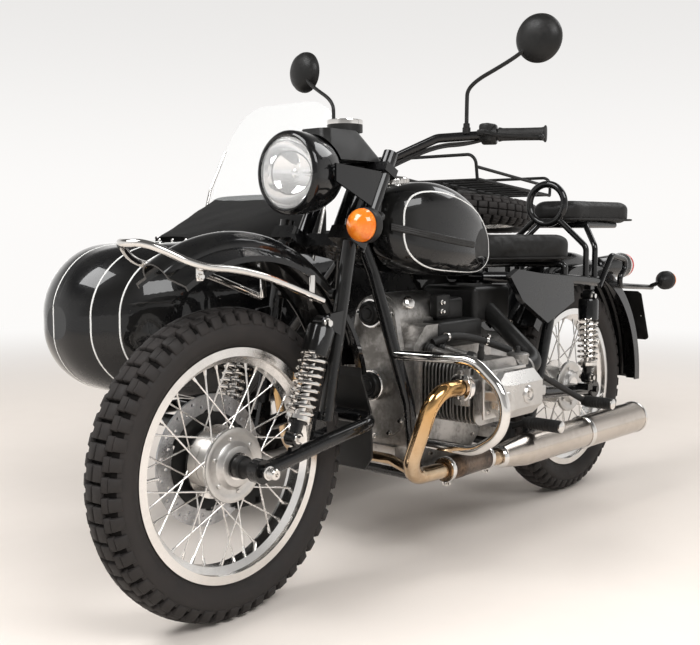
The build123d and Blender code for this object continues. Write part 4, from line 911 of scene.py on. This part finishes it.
def knee_pad(bm, side):
    """A rubber pad that lies on the tank's side, thick inside and rounded off at its edge."""
    old = set(bm.verts)
    ring = ring_points(PAD_CORNERS, 64)
    loop = [bm.verts.new(at(x, side * 300, z)) for x, z in ring]
    face = bm.faces.new(loop)
    for inset in (3, 5, 12, 14):
        bmesh.ops.inset_region(bm, faces=[face], thickness=mm(inset))
    bmesh.ops.poke(bm, faces=[face])
    fresh = added(bm, old)
    rim = {v for v in fresh if v.is_boundary}
    for vert in fresh:
        edge = min((vert.co - r.co).length for r in rim)
        lift = min(edge / mm(PAD_ROUND), 1) ** 0.5 * PAD_THICK
        hit = cast("fuel_tank", vert.co.copy(), (0, -side, 0), 0.3 + lift)
        if hit is not None:
            vert.co = hit
    bmesh.ops.recalc_face_normals(bm, faces=faces_of(fresh))


CAP_TEETH = 40


def filler_cap():
    cap = bmesh.new()
    centre = at(900, 0, 962)
    turned(cap, centre, UP, [
        (0, 37), (0, 41), (4, 42), (17, 42), (20, 40), (23, 34), (24.5, 20), (25, 0)], 72)
    place = Matrix.Translation(centre + Vector((mm(42), 0, mm(10.5))))
    tooth = bmesh.ops.create_cube(cap, size=1, matrix=place @ Matrix.Diagonal((mm(3), mm(3.4), mm(12), 1)))
    around(cap, tooth["verts"], centre, "Z", CAP_TEETH)
    placed("filler_cap", cap, "chassis", "bright_steel")


# Pinstripes and beading of the sidecar

NOSE_LINES = (-704, -580, -525, -800, -855)
# Points of one line over the nose, and the angles in degrees that it runs through
LINE_STEPS = 72
LINE_FROM = 106
LINE_SWEEP = 206


def sidecar_trim():
    lines = bmesh.new()
    for y in NOSE_LINES:
        run = []
        for step in range(LINE_STEPS):
            a = radians(LINE_FROM - LINE_SWEEP * step / (LINE_STEPS - 1))
            out = Vector((cos(a), 0, sin(a)))
            run.append(cast("sidecar_body", at(1150, y, 607) + out * 0.62, -out, -1.6))
        rod(lines, run, 2.8, smooth=2)
    placed("sidecar_pinstripes", lines, "chassis", "white_line")
    bead = bmesh.new()
    half = [(690, 214, 838), (400, 214, 843), (90, 214, 846), (10, 202, 842), (-34, 140, 838), (-38, 60, 838)]
    run = [at(x, SIDECAR_Y + y, z) for x, y, z in half] + [at(x, SIDECAR_Y - y, z) for x, y, z in half[::-1]]
    rod(bead, run, 7.5, smooth=6)
    placed("cockpit_beading", bead, "chassis", "vinyl")


# Engine and exhaust

CYLINDER_X = 840
CYLINDER_Z = 455
CARBURETTOR_X = 695
PORT_Y = 258
PORT_Z = 474
CAN_Y = 189
CAN_Z = 257
# Front face of the engine's cover, and its circles of bolts: height of the middle, radius, size, angles
COVER_X = 968
FRONT_BOLTS = ((420, 96, 9, range(150, 391, 30)), (620, 58, 8, (20, 60, 120, 160)))
# Bolts in the sides of engine and gearbox: how far out, size, places
SIDE_BOLTS = (
    (118, 10, ((765, 380), (765, 530), (915, 380), (915, 530))),
    (110, 8, ((690, 300), (780, 280), (880, 280), (925, 330), (670, 420), (690, 560), (800, 592))),
    (107, 8, ((610, 330), (645, 560), (610, 560), (645, 320))))
HOSE_CLAMP = [(0, 9), (0, 11.6), (7, 11.6), (7, 9)]


def engine_trim():
    bolts = bmesh.new()
    for z, r, size, angles in FRONT_BOLTS:
        for angle in angles:
            a = radians(angle)
            bolt(bolts, at(COVER_X, r * cos(a), z + r * sin(a)), AHEAD, size)
    for side in SIDES:
        bolt(bolts, at(COVER_X, side * 82, 520), AHEAD, 9)
        for y, size, spots in SIDE_BOLTS:
            for x, z in spots:
                bolt(bolts, at(x, side * y, z), (0, side, 0), size)
    placed("engine_bolts", bolts, "chassis", "bright_steel")
    caps = bmesh.new()
    plugs = bmesh.new()
    for z, r in ((457, 40), (640, 38)):
        turned(caps, at(983, 0, z), AHEAD, [
            (0, r - 9), (0, r), (4, r), (6, r - 2), (6, r - 6), (3, r - 8)], 48, closed=True)
        turned(plugs, at(983, 0, z), AHEAD, [
            (0, r - 8), (14, r - 8), (18, r - 11), (19, r - 16), (16, r - 18), (16, r - 24), (19, r - 26),
            (20, 0)], 40)
    placed("engine_caps", caps, "chassis", "polished_alloy")
    placed("engine_plugs", plugs, "chassis", "satin_black")
    valve_cover_trim()
    boots = bmesh.new()
    leads = bmesh.new()
    for side in SIDES:
        for x in (6, 58):
            low = at(CYLINDER_X + x, side * 110.5, 553)
            way = at(CYLINDER_X - 22 + x, side * 222, 526) - low
            turned(boots, low, way, [
                (0, 9), (0, 15), (4, 15), (6, 12.5), (9, 14), (12, 12), (15, 13), (20, 10.5), (22, 9)], 20,
                closed=True)
            turned(boots, low, way, [(82, 9), (84, 12), (92, 13), (100, 13), (100, 9)], 20, closed=True)
        plug = at(880, side * 262, 540)
        turned(leads, plug, (0.35, side * 0.3, 1), [
            (-12, 5), (-12, 8), (14, 9), (18, 7), (34, 7), (36, 5), (36, 0)], 16)
    placed("pushrod_boots", boots, "chassis", "soft_rubber")
    placed("plug_caps", leads, "chassis", "soft_rubber")


def valve_cover_trim():
    """Faceted covers with a level band and one cap nut, in place of the plain ones."""
    covers = bmesh.new()
    nuts = bmesh.new()
    for side in SIDES:
        slab(covers, at(CYLINDER_X, side * 338.4, CYLINDER_Z), (184, 72, 112), 27, segments=1)
        slab(covers, at(CYLINDER_X, side * 306, CYLINDER_Z), (190, 7.4, 118), 3)
        slab(covers, at(CYLINDER_X, side * 337, CYLINDER_Z), (187, 64, 27), 5)
        turned(covers, at(CYLINDER_X, side * 368, CYLINDER_Z), (0, side, 0), [
            (0, 24), (8, 23), (11.6, 20), (11.6, 15), (7, 13), (7, 0)], 36)
        bolt(nuts, at(CYLINDER_X, side * 374.6, CYLINDER_Z), (0, side, 0), 15, 4)
        for x, z in product((-78, 78), (40, -40)):
            bolt(nuts, at(CYLINDER_X + x, side * 309.6, CYLINDER_Z + z), (0, side, 0), 8, 4)
    placed("valve_cover_facets", covers, "chassis", "satin_alloy", ("valve_covers",), sharp=20)
    placed("valve_cover_nuts", nuts, "chassis", "bright_steel")


def engine_top():
    """Black cover over the case behind the generator, with the coil block and the hoses beside it."""
    cover = bmesh.new()
    slab(cover, at(750, 0, 579), (200, 234, 70), 12, segments=3)
    slab(cover, at(742, 0, 640), (120, 150, 60), 10, segments=3)
    placed("engine_top_cover", cover, "chassis", "satin_black")
    block = bmesh.new()
    metal = bmesh.new()
    hoses = bmesh.new()
    for side in SIDES:
        slab(block, at(790, side * 74, 652), (62, 26, 58), 5)
        for z in (638, 662):
            turned(metal, at(804, side * 87, z), (0, side, 0), [
                (0, 0), (0, 7), (5, 7), (6, 4), (12, 4), (13, 0)], 14)
        turned(metal, at(905, side * 56, 664), (0.3, side, 0.5), [
            (0, 0), (0, 17), (6, 17), (8, 14), (10, 14), (12, 10), (12, 0)], 28)
        run = [
            (880, 118, 566), (846, 134, 578), (800, 140, 578), (730, 146, 566), (672, 168, 546),
            (640, 200, 530)]
        rod(hoses, [at(x, side * y, z) for x, y, z in run], 10, sides=4)
        turned(metal, at(846, side * 133.4, 577.6), (-1, side * 0.16, 0), HOSE_CLAMP, 24, closed=True)
        turned(metal, at(700, side * 156, 557), (-0.86, side * 0.4, -0.3), HOSE_CLAMP, 24, closed=True)
    placed("coil_block", block, "chassis", "satin_black")
    placed("engine_top_fittings", metal, "chassis", "bright_steel")
    placed("breather_hoses", hoses, "chassis", "soft_rubber")


def carburettors():
    alloy = bmesh.new()
    dark = bmesh.new()
    for side in SIDES:
        y = side * 254
        turned(alloy, at(662, y, 490), AHEAD, [
            (0, 24), (0, 31), (8, 31), (9, 28), (50, 28), (51, 32), (66, 32), (66, 24)], 40, closed=True)
        turned(alloy, at(CARBURETTOR_X, y, 440), UP, [
            (0, 0), (0, 8), (2, 22), (5, 27.4), (36, 27.4), (37, 30), (42, 30), (43, 27.4), (62, 27.4)], 40)
        turned(alloy, at(CARBURETTOR_X, y, 505), UP, [
            (0, 27.6), (20, 27.6), (21, 29), (26, 29), (29, 24), (30, 0)], 40)
        for dx, dy in product((19.8, -19.8), repeat=2):
            bolt(alloy, at(CARBURETTOR_X + dx, y + dy, 483), UP, 6, 4)
        turned(dark, at(CARBURETTOR_X, y, 533), UP, [
            (0, 5), (0, 9), (4, 9), (6, 6), (16, 6), (18, 4), (18, 0)], 16)
    placed("carburettors", alloy, "chassis", "cast_alloy")
    placed("carburettor_caps", dark, "chassis", "soft_rubber")


def exhaust_trim():
    bands = bmesh.new()
    for side in SIDES:
        turned(bands, at(944, side * PORT_Y, PORT_Z), AHEAD, [
            (0, 22), (0, 33), (3, 34), (6, 31), (8, 34), (11, 31), (13, 34), (16, 31), (18, 30), (19, 22)],
            40, closed=True)
        for x in (928, 752):
            turned(bands, at(x, side * CAN_Y, CAN_Z), BACK, [
                (0, 28), (0, 31), (1, 31.6), (13, 31.6), (14, 31), (14, 28)], 40, closed=True)
            slab(bands, at(x - 7, side * CAN_Y, 222), (12, 14, 14), 2)
            bolt(bands, at(x - 7, side * (CAN_Y + 8), 222), (0, side, 0), 7)
        front = at(690, side * 192, 248)
        way = at(-70, side * 222, 254) - front
        turned(bands, front, way, [(0, 21), (0, 26), (1, 27), (13, 31), (14, 30), (14, 22)], 40, closed=True)
        turned(bands, front + way * 0.56, way, [
            (0, 44), (0, 46), (10, 49), (12, 49), (16, 48.5), (16, 47)], 48, closed=True)
        turned(bands, front + way * 0.985, way, [
            (0, 47), (0, 49), (2, 50), (9, 50), (11, 49), (11, 41)], 48, closed=True)
    placed("exhaust_bands", bands, "chassis", "bright_steel")
    flanges = bmesh.new()
    cans = bmesh.new()
    for side in SIDES:
        slab(flanges, at(951, side * PORT_Y, PORT_Z), (9, 44, 92), 4)
        for z in (-36, 36):
            bolt(flanges, at(956, side * PORT_Y, PORT_Z + z), AHEAD, 13, 9)
        turned(cans, at(930.4, side * CAN_Y, CAN_Z), BACK, [
            (0, 21), (0, 25), (10, 29.4), (44, 29.6), (46, 30.6), (70, 30.6), (72, 29.6), (178, 29.6),
            (190, 25), (190, 21)], 44, closed=True)
    placed("exhaust_flanges", flanges, "chassis", "cast_alloy")
    placed("front_cans", cans, "chassis", "burnt_steel")


# Controls

def grips():
    rubber = bmesh.new()
    blocks = bmesh.new()
    levers = bmesh.new()
    for side in SIDES:
        end = at(796, side * 381, 1077)
        inward = (at(853, side * 264, 1078) - end).normalized()
        turned(rubber, end, inward, [
            (-4, 0), (-4, 17), (-2.5, 20), (1, 20), (3, 17), (8, 15.4), (60, 15), (100, 15.4), (106, 17),
            (110, 17), (111, 14), (118, 14), (118, 12)], 32)
        turned(blocks, end, inward, [
            (114, 11), (114, 22), (117, 24), (146, 24), (150, 21), (150, 11)], 32, closed=True)
        # how far along the bar, forward and up each block lies, its size and its edge
        for reach, x, z, size, edge in ((131, 8, 4, (44, 30, 44), 7), (128, -22, 10, (10, 12, 9), 2.5),
                                        (128, -22, -7, (10, 10, 9), 2.5), (128, 30, 2, (34, 24, 16), 4)):
            slab(blocks, end + inward * mm(reach) + Vector((mm(x), 0, mm(z))), size, edge)
        run = [end + inward * mm(reach) + Vector((mm(x), 0, mm(z)))
               for reach, x, z in ((128, 36, 2), (112, 58, -2), (60, 56, -8), (-16, 50, -12))]
        rod(levers, run, 5.4)
        bmesh.ops.create_uvsphere(levers, u_segments=16, v_segments=10, radius=mm(8),
                                  matrix=Matrix.Translation(run[-1]))
    placed("hand_grips", rubber, "steering", "soft_rubber", ("hand_controls",))
    placed("switch_blocks", blocks, "steering", "satin_black")
    placed("hand_levers", levers, "steering", "satin_black")
    wiring = bmesh.new()
    for side in SIDES:
        for drop in (14, 20):
            run = [
                (862, 246, 1064), (880, 214, 1074 - drop), (914, 152, 1071 - drop), (966, 80, 1034 - drop),
                (1010, 50, 1006 - drop), (1090, 44, 1000)]
            rod(wiring, [at(x, side * y, z) for x, y, z in run], 3, sides=2)
    placed("bar_wiring", wiring, "steering", "soft_rubber")


def gauge():
    top = at(1084, 0, 1111)
    lathe("gauge_rim", "steering", "bright_steel", (top, UP, [
        (-10, 43.2), (-1, 43.6), (1, 43), (1.6, 40), (0, 37.6), (-3, 37), (-3, 40)], 56, True))
    marks = bmesh.new()
    for step in range(31):
        a = radians(225 - 9 * step)
        reach, length = (30, 9) if step % 3 == 0 else (32.5, 4)
        place = top + Vector((mm(reach * cos(a)), mm(reach * sin(a)), mm(0.3)))
        slab(marks, place, (length, 1.4, 0.5), 0, Matrix.Rotation(a, 4, "Z"))
    slab(marks, top + Vector((mm(8), mm(8), mm(0.6))), (34, 1.6, 0.5), 0,
         Matrix.Rotation(radians(45), 4, "Z"))
    turned(marks, top, UP, [(0, 4), (1.2, 4), (1.6, 0)], 20)
    placed("gauge_marks", marks, "steering", "white_line")


MIRROR_STEM = [
    (884, 216, 1087), (884, 216, 1150), (884, 218, 1196), (858, 310, 1242), (846, 351, 1268),
    (842, 366, 1282)]


def mirror_heads():
    shells = bmesh.new()
    glass = bmesh.new()
    for side in SIDES:
        middle = at(838, side * 379, 1296)
        way = (-1, -0.12 * side, 0)
        turned(shells, middle, way, [
            (-18, 0), (-17, 18), (-12, 36), (-4, 49), (6, 55.5), (14, 57), (18, 56.5), (18, 53), (14, 52),
            (14, 0)], 48)
        turned(glass, middle, way, [(14.2, 52), (15, 51.5), (15.4, 40), (15.8, 20), (16, 0)], 48)
        stem = [at(x, side * y, z) for x, y, z in MIRROR_STEM]
        rod(shells, stem, 5)
        turned(shells, stem[0], UP, [(-6, 0), (-6, 10), (8, 10), (10, 8), (18, 8), (20, 5)], 16)
    placed("mirror_shells", shells, "steering", "satin_black", ("mirrors",))
    placed("mirror_glass", glass, "steering", "mirror_bowl")


PLATE_LEAN = radians(23)


def plate_border():
    frame_mesh = bmesh.new()
    out = Vector((-cos(PLATE_LEAN), 0, sin(PLATE_LEAN)))
    up = Vector((sin(PLATE_LEAN), 0, cos(PLATE_LEAN)))
    middle = at(-417, 0, 551) + out * mm(0.4)
    corners = [(84, -92), (94, -82), (94, 82), (84, 92), (-84, 92), (-94, 82), (-94, -82), (-84, -92)]
    run = [middle + Vector((0, mm(y), 0)) + up * mm(z) for z, y in corners]
    for a, b in zip(run, run[1:] + run[:1]):
        rod(frame_mesh, [a, b], 2.2, sides=2)
    for y in (80, -80):
        bolt(frame_mesh, middle + Vector((0, mm(y), 0)), out, 9)
    placed("plate_border", frame_mesh, "chassis", "satin_black")
    panel = bmesh.new()
    face = out.to_track_quat("Z", "Y").to_matrix().to_4x4()
    slab(panel, middle + out * mm(0.4), (184, 178, 1.2), 0.4, face, segments=1)
    placed("plate_panel", panel, "chassis", "white_enamel")


PEG_PITCH = 9


def peg_rubbers():
    rubber = bmesh.new()
    ends = bmesh.new()
    for side in SIDES:
        for x, y, z, length in ((530, 176, 318, 118), (199, 182, 336, 98)):
            rings = [(10, 14), (11, 17)]
            count = int((length - 16) / PEG_PITCH)
            for start in range(12, 12 + PEG_PITCH * count, PEG_PITCH):
                rings += [(start, 17.5), (start + 5, 17.5), (start + 6, 15.6), (start + 8, 15.6)]
            rings += [(14 + PEG_PITCH * count, 17.5), (15 + PEG_PITCH * count, 14)]
            turned(rubber, at(x, side * y, z), (0, side, 0), rings, 24, closed=True)
            turned(ends, at(x, side * (y + length - 3), z), (0, side, 0), [
                (0, 12), (0, 15.6), (4, 15.6), (6.5, 12), (8, 6), (8.4, 0)], 28)
    placed("peg_rubbers", rubber, "chassis", "soft_rubber")
    placed("peg_ends", ends, "chassis", "bright_steel")


def axle_end():
    """Black sleeve between hub and link, and the bright end of the axle beyond it."""
    lathe("axle_sleeve", "steering", "satin_black", (at(*FRONT_AXLE), LEFT, [
        (45.2, 10.4), (45.2, 24), (48, 25), (62, 25), (64, 21), (96, 20), (96, 10.4)], 36, True))
    lathe("axle_tip", "steering", "bright_steel", (at(*FRONT_AXLE), LEFT, [
        (131, 0), (131, 14), (133, 15), (139, 15), (140, 12), (158, 12), (160, 10), (160, 4.5), (150, 4.5),
        (150, 0)], 36))


def disc_carrier():
    dark = bmesh.new()
    turned(dark, at(FRONT_AXLE[0], -49.8, AXLE_Z), LEFT, [
        (0, 52), (0, 108), (1.2, 108), (1.2, 100), (0.8, 98), (0.8, 60), (3, 58), (3, 52)], 56, closed=True)
    centre = at(FRONT_AXLE[0], -54.5, AXLE_Z)
    turned(dark, centre, RIGHT, [(0.6, 14), (0.6, 60), (2, 62), (5, 62), (6, 58), (6, 14)], 40, closed=True)
    for step in range(6):
        a = radians(60 * step + 30)
        slab(dark, centre + Vector((mm(88 * cos(a)), mm(-3), mm(88 * sin(a)))), (64, 5, 15), 2,
             Matrix.Rotation(-a, 4, "Y"))
        bolt(dark, centre + Vector((mm(46 * cos(a)), mm(-6), mm(46 * sin(a)))), RIGHT, 10)
    placed("disc_carrier", dark, "front_wheel", "satin_black")


def caliper():
    """Two halves about the disc, bridged past its edge, clear of the hub's flange."""
    cast_halves = bmesh.new()
    slab(cast_halves, at(1376, -42.3, 262), (74, 9.4, 88), 3)
    slab(cast_halves, at(1376, -78, 262), (78, 40, 92), 9, segments=3)
    slab(cast_halves, at(1347, -67.6, 228), (24, 60, 24), 4)
    slab(cast_halves, at(1372.5, -87, 326), (55, 13, 72), 3)
    placed("caliper_halves", cast_halves, "steering", "satin_black", ("brake_caliper",))
    bolts = bmesh.new()
    for x, z in ((1350, 292), (1402, 292), (1352, 234), (1400, 232)):
        bolt(bolts, at(x, -98, z), RIGHT, 11, 5)
    turned(bolts, at(1376, -97, 262), RIGHT, [(0, 18), (4, 18), (5, 16), (5, 9), (3, 8), (3, 0)], 28)
    placed("caliper_bolts", bolts, "steering", "bright_steel")


# Apron of cloth over the sidecar's scuttle

APRON_ROWS = 9
APRON_STUDS = 9
APRON_FRONT = 1060
STUD = [(0, 5.4), (1.6, 5), (2.8, 3), (3.2, 0)]


def apron_line(share):
    """Place along the machine and half width of the apron, from its front at 0 to its hoop at 1."""
    return APRON_FRONT - share * 370, 92 + share * 170


def apron():
    bm = bmesh.new()
    rows = []
    for step in range(APRON_ROWS):
        share = step / (APRON_ROWS - 1)
        x, half = apron_line(share)
        high = 830 + share * 127
        corner = 36 + share * 8
        deck = 812 + share * 14
        foot = min(deck - 6, high - corner - 8)
        line = [(-half, foot), (-half, (foot + high - corner) / 2), (-half, high - corner)]
        for t in (22.5, 45, 67.5, 90):
            a = radians(t)
            line.append((-half + corner - corner * cos(a), high - corner + corner * sin(a)))
        line += [(-half * 0.5, high + 2), (0, high + 3)]
        line += [(-y, z) for y, z in line[-2::-1]]
        verts = [bm.verts.new(at(x, SIDECAR_Y + y, z)) for y, z in line]
        rows.append([bm.edges.new(pair) for pair in zip(verts, verts[1:])])
    for first, second in zip(rows, rows[1:]):
        bmesh.ops.bridge_loops(bm, edges=first + second)
    bmesh.ops.subdivide_edges(bm, edges=bm.edges, cuts=1, use_grid_fill=True)
    inner = [v for v in bm.verts if not v.is_boundary]
    for _ in range(2):
        bmesh.ops.smooth_vert(bm, verts=inner, factor=0.4, use_axis_x=True, use_axis_y=True, use_axis_z=True)
    for vert in inner:
        place = (vert.co + MIDDLE) * 1000
        vert.co.z += mm(1.6) * sin(place.x / 31 + place.y / 47) * sin(place.y / 29)
    bmesh.ops.recalc_face_normals(bm, faces=bm.faces)
    cloth = placed("scuttle_apron", bm, "chassis", "canvas", ("tonneau",), sharp=60)
    fold = cloth.modifiers.new("cloth", "SOLIDIFY")
    fold.thickness = mm(2)
    hem = bmesh.new()
    back = [(-262, 826), (-262, 880), (-262, 915), (-240, 950), (-200, 957), (-120, 959), (0, 960)]
    back += [(-y, z) for y, z in back[-2::-1]]
    rod(hem, [at(690, SIDECAR_Y + y, z) for y, z in back], 5, sides=2)
    piece = placed("apron_hem", hem, "chassis", "vinyl")
    studs = bmesh.new()
    for side in SIDES:
        for step in range(APRON_STUDS):
            share = (step + 0.5) / APRON_STUDS
            x, half = apron_line(share)
            turned(studs, at(x, SIDECAR_Y + side * (half + 0.5), 826 + share * 14), (0.4, side, 0), STUD, 12)
    for y in (-60, 0, 60):
        turned(studs, at(APRON_FRONT, SIDECAR_Y + y, 822), (1, 0, 0.3), STUD, 12)
    rivets = placed("apron_studs", studs, "chassis", "bright_steel")


for make in (tyres, wheel_trim, struts, fender_rail, headlamp, signals, tail_lamp, saddles, tank_trim,
             filler_cap, sidecar_trim, engine_trim, engine_top, carburettors, exhaust_trim, grips, gauge,
             mirror_heads, plate_border, peg_rubbers, axle_end, disc_carrier, caliper, apron):
    make()


# Camera, light and floor

CAMERA_AT = (2894.7, 1592.5, 839.1)
CAMERA_YAW = radians(221.04)
CAMERA_PITCH = radians(-5.12)
CAMERA_LENS = 50.74
DAYLIGHT = (1.0, 0.985, 0.97, 1)
HORIZON = 0.98
# Way from the machine to the onlooker, behind whom the room is dim
ONLOOKER = (0.754, 0.657, 0)


def camera():
    lens = bpy.data.cameras.new("camera")
    lens.sensor_width = 36
    lens.lens = CAMERA_LENS
    lens.clip_end = 100
    stand = shown("camera", lens)
    level = cos(CAMERA_PITCH)
    ahead = Vector((cos(CAMERA_YAW) * level, sin(CAMERA_YAW) * level, sin(CAMERA_PITCH)))
    stand.location = at(*CAMERA_AT)
    stand.rotation_euler = ahead.to_track_quat("-Z", "Y").to_euler()
    bpy.context.scene.camera = stand


def soft_box(name, place, aim, width, height, power):
    lamp = bpy.data.lights.new(name, "AREA")
    lamp.shape = "RECTANGLE"
    lamp.size = width
    lamp.size_y = height
    lamp.energy = power
    stand = shown(name, lamp)
    stand.location = place
    stand.rotation_euler = (Vector(aim) - Vector(place)).to_track_quat("-Z", "Y").to_euler()


def seen_ray(tree):
    """One where a ray looks, mirrors or passes, and nought where it gathers plain light."""
    path = tree.nodes.new("ShaderNodeLightPath")
    seen = math_node(tree, "MAXIMUM", path.outputs["Is Camera Ray"], path.outputs["Is Glossy Ray"])
    return math_node(tree, "MAXIMUM", seen, path.outputs["Is Transmission Ray"])


def backdrop(tree, height):
    """Brightness of the backdrop by the height of the look: white at the floor's edge, dimmer above."""
    low = ramp_between(tree, height, 0.02, 0.26, HORIZON, 0.82)
    high = ramp_between(tree, height, 0.26, 0.62, 0.0, 0.68)
    return math_node(tree, "SUBTRACT", low, high)


def studio():
    world = bpy.data.worlds.new("studio")
    bpy.context.scene.world = world
    world.use_nodes = True
    tree = world.node_tree
    back = tree.nodes["Background"]
    where = tree.nodes.new("ShaderNodeTexCoord")
    split = tree.nodes.new("ShaderNodeSeparateXYZ")
    tree.links.new(where.outputs["Generated"], split.inputs["Vector"])
    back.inputs["Color"].default_value = DAYLIGHT
    seen = seen_ray(tree)
    front = tree.nodes.new("ShaderNodeVectorMath")
    front.operation = "DOT_PRODUCT"
    tree.links.new(where.outputs["Generated"], front.inputs[0])
    front.inputs[1].default_value = ONLOOKER
    room = math_node(tree, "MULTIPLY", backdrop(tree, split.outputs["Z"]),
                     ramp_between(tree, front.outputs["Value"], 0.6, 0.92, 1.0, 0.5))
    looked_at = math_node(tree, "MULTIPLY", seen, room)
    plain = math_node(tree, "MULTIPLY", math_node(tree, "SUBTRACT", 1.0, seen), 0.5)
    tree.links.new(math_node(tree, "ADD", looked_at, plain), back.inputs["Strength"])
    centre = at(560, -300, 500)
    soft_box("key", centre + Vector((3.4, -0.9, 4.0)), centre, 2.6, 2.0, 165)
    soft_box("fill", centre + Vector((1.4, 3.8, 3.0)), centre, 2.8, 1.8, 130)
    soft_box("rim", centre + Vector((-3.4, 1.2, 3.4)), centre, 2.6, 1.6, 50)
    floor_mesh = bpy.data.meshes.new("floor")
    bm = bmesh.new()
    bmesh.ops.create_grid(bm, x_segments=1, y_segments=1, size=60)
    bm.to_mesh(floor_mesh)
    bm.free()
    floor = shown("floor", floor_mesh)
    made = Finish("floor", (0.86, 0.795, 0.735), 0, 0.9, Specular_IOR_Level=0.1)
    made.patchy(0.8, 0.8, 0.95, (0.845, 0.78, 0.72))
    faded(made)
    floor_mesh.materials.append(made.material)


def faded(floor):
    """Let the floor run out into the backdrop's white with distance."""
    tree = floor.tree
    reach = tree.nodes.new("ShaderNodeVectorMath")
    reach.operation = "LENGTH"
    tree.links.new(own_place(tree), reach.inputs[0])
    far = ramp_between(tree, reach.outputs["Value"], 2.0, 6.5)
    white = tree.nodes.new("ShaderNodeEmission")
    white.inputs["Color"].default_value = DAYLIGHT
    white.inputs["Strength"].default_value = HORIZON
    mix = tree.nodes.new("ShaderNodeMixShader")
    tree.links.new(far, mix.inputs["Fac"])
    tree.links.new(floor.shader.outputs["BSDF"], mix.inputs[1])
    tree.links.new(white.outputs["Emission"], mix.inputs[2])
    tree.links.new(mix.outputs["Shader"], tree.nodes["Material Output"].inputs["Surface"])


camera()
studio()
bpy.context.scene.view_settings.view_transform = "Standard"
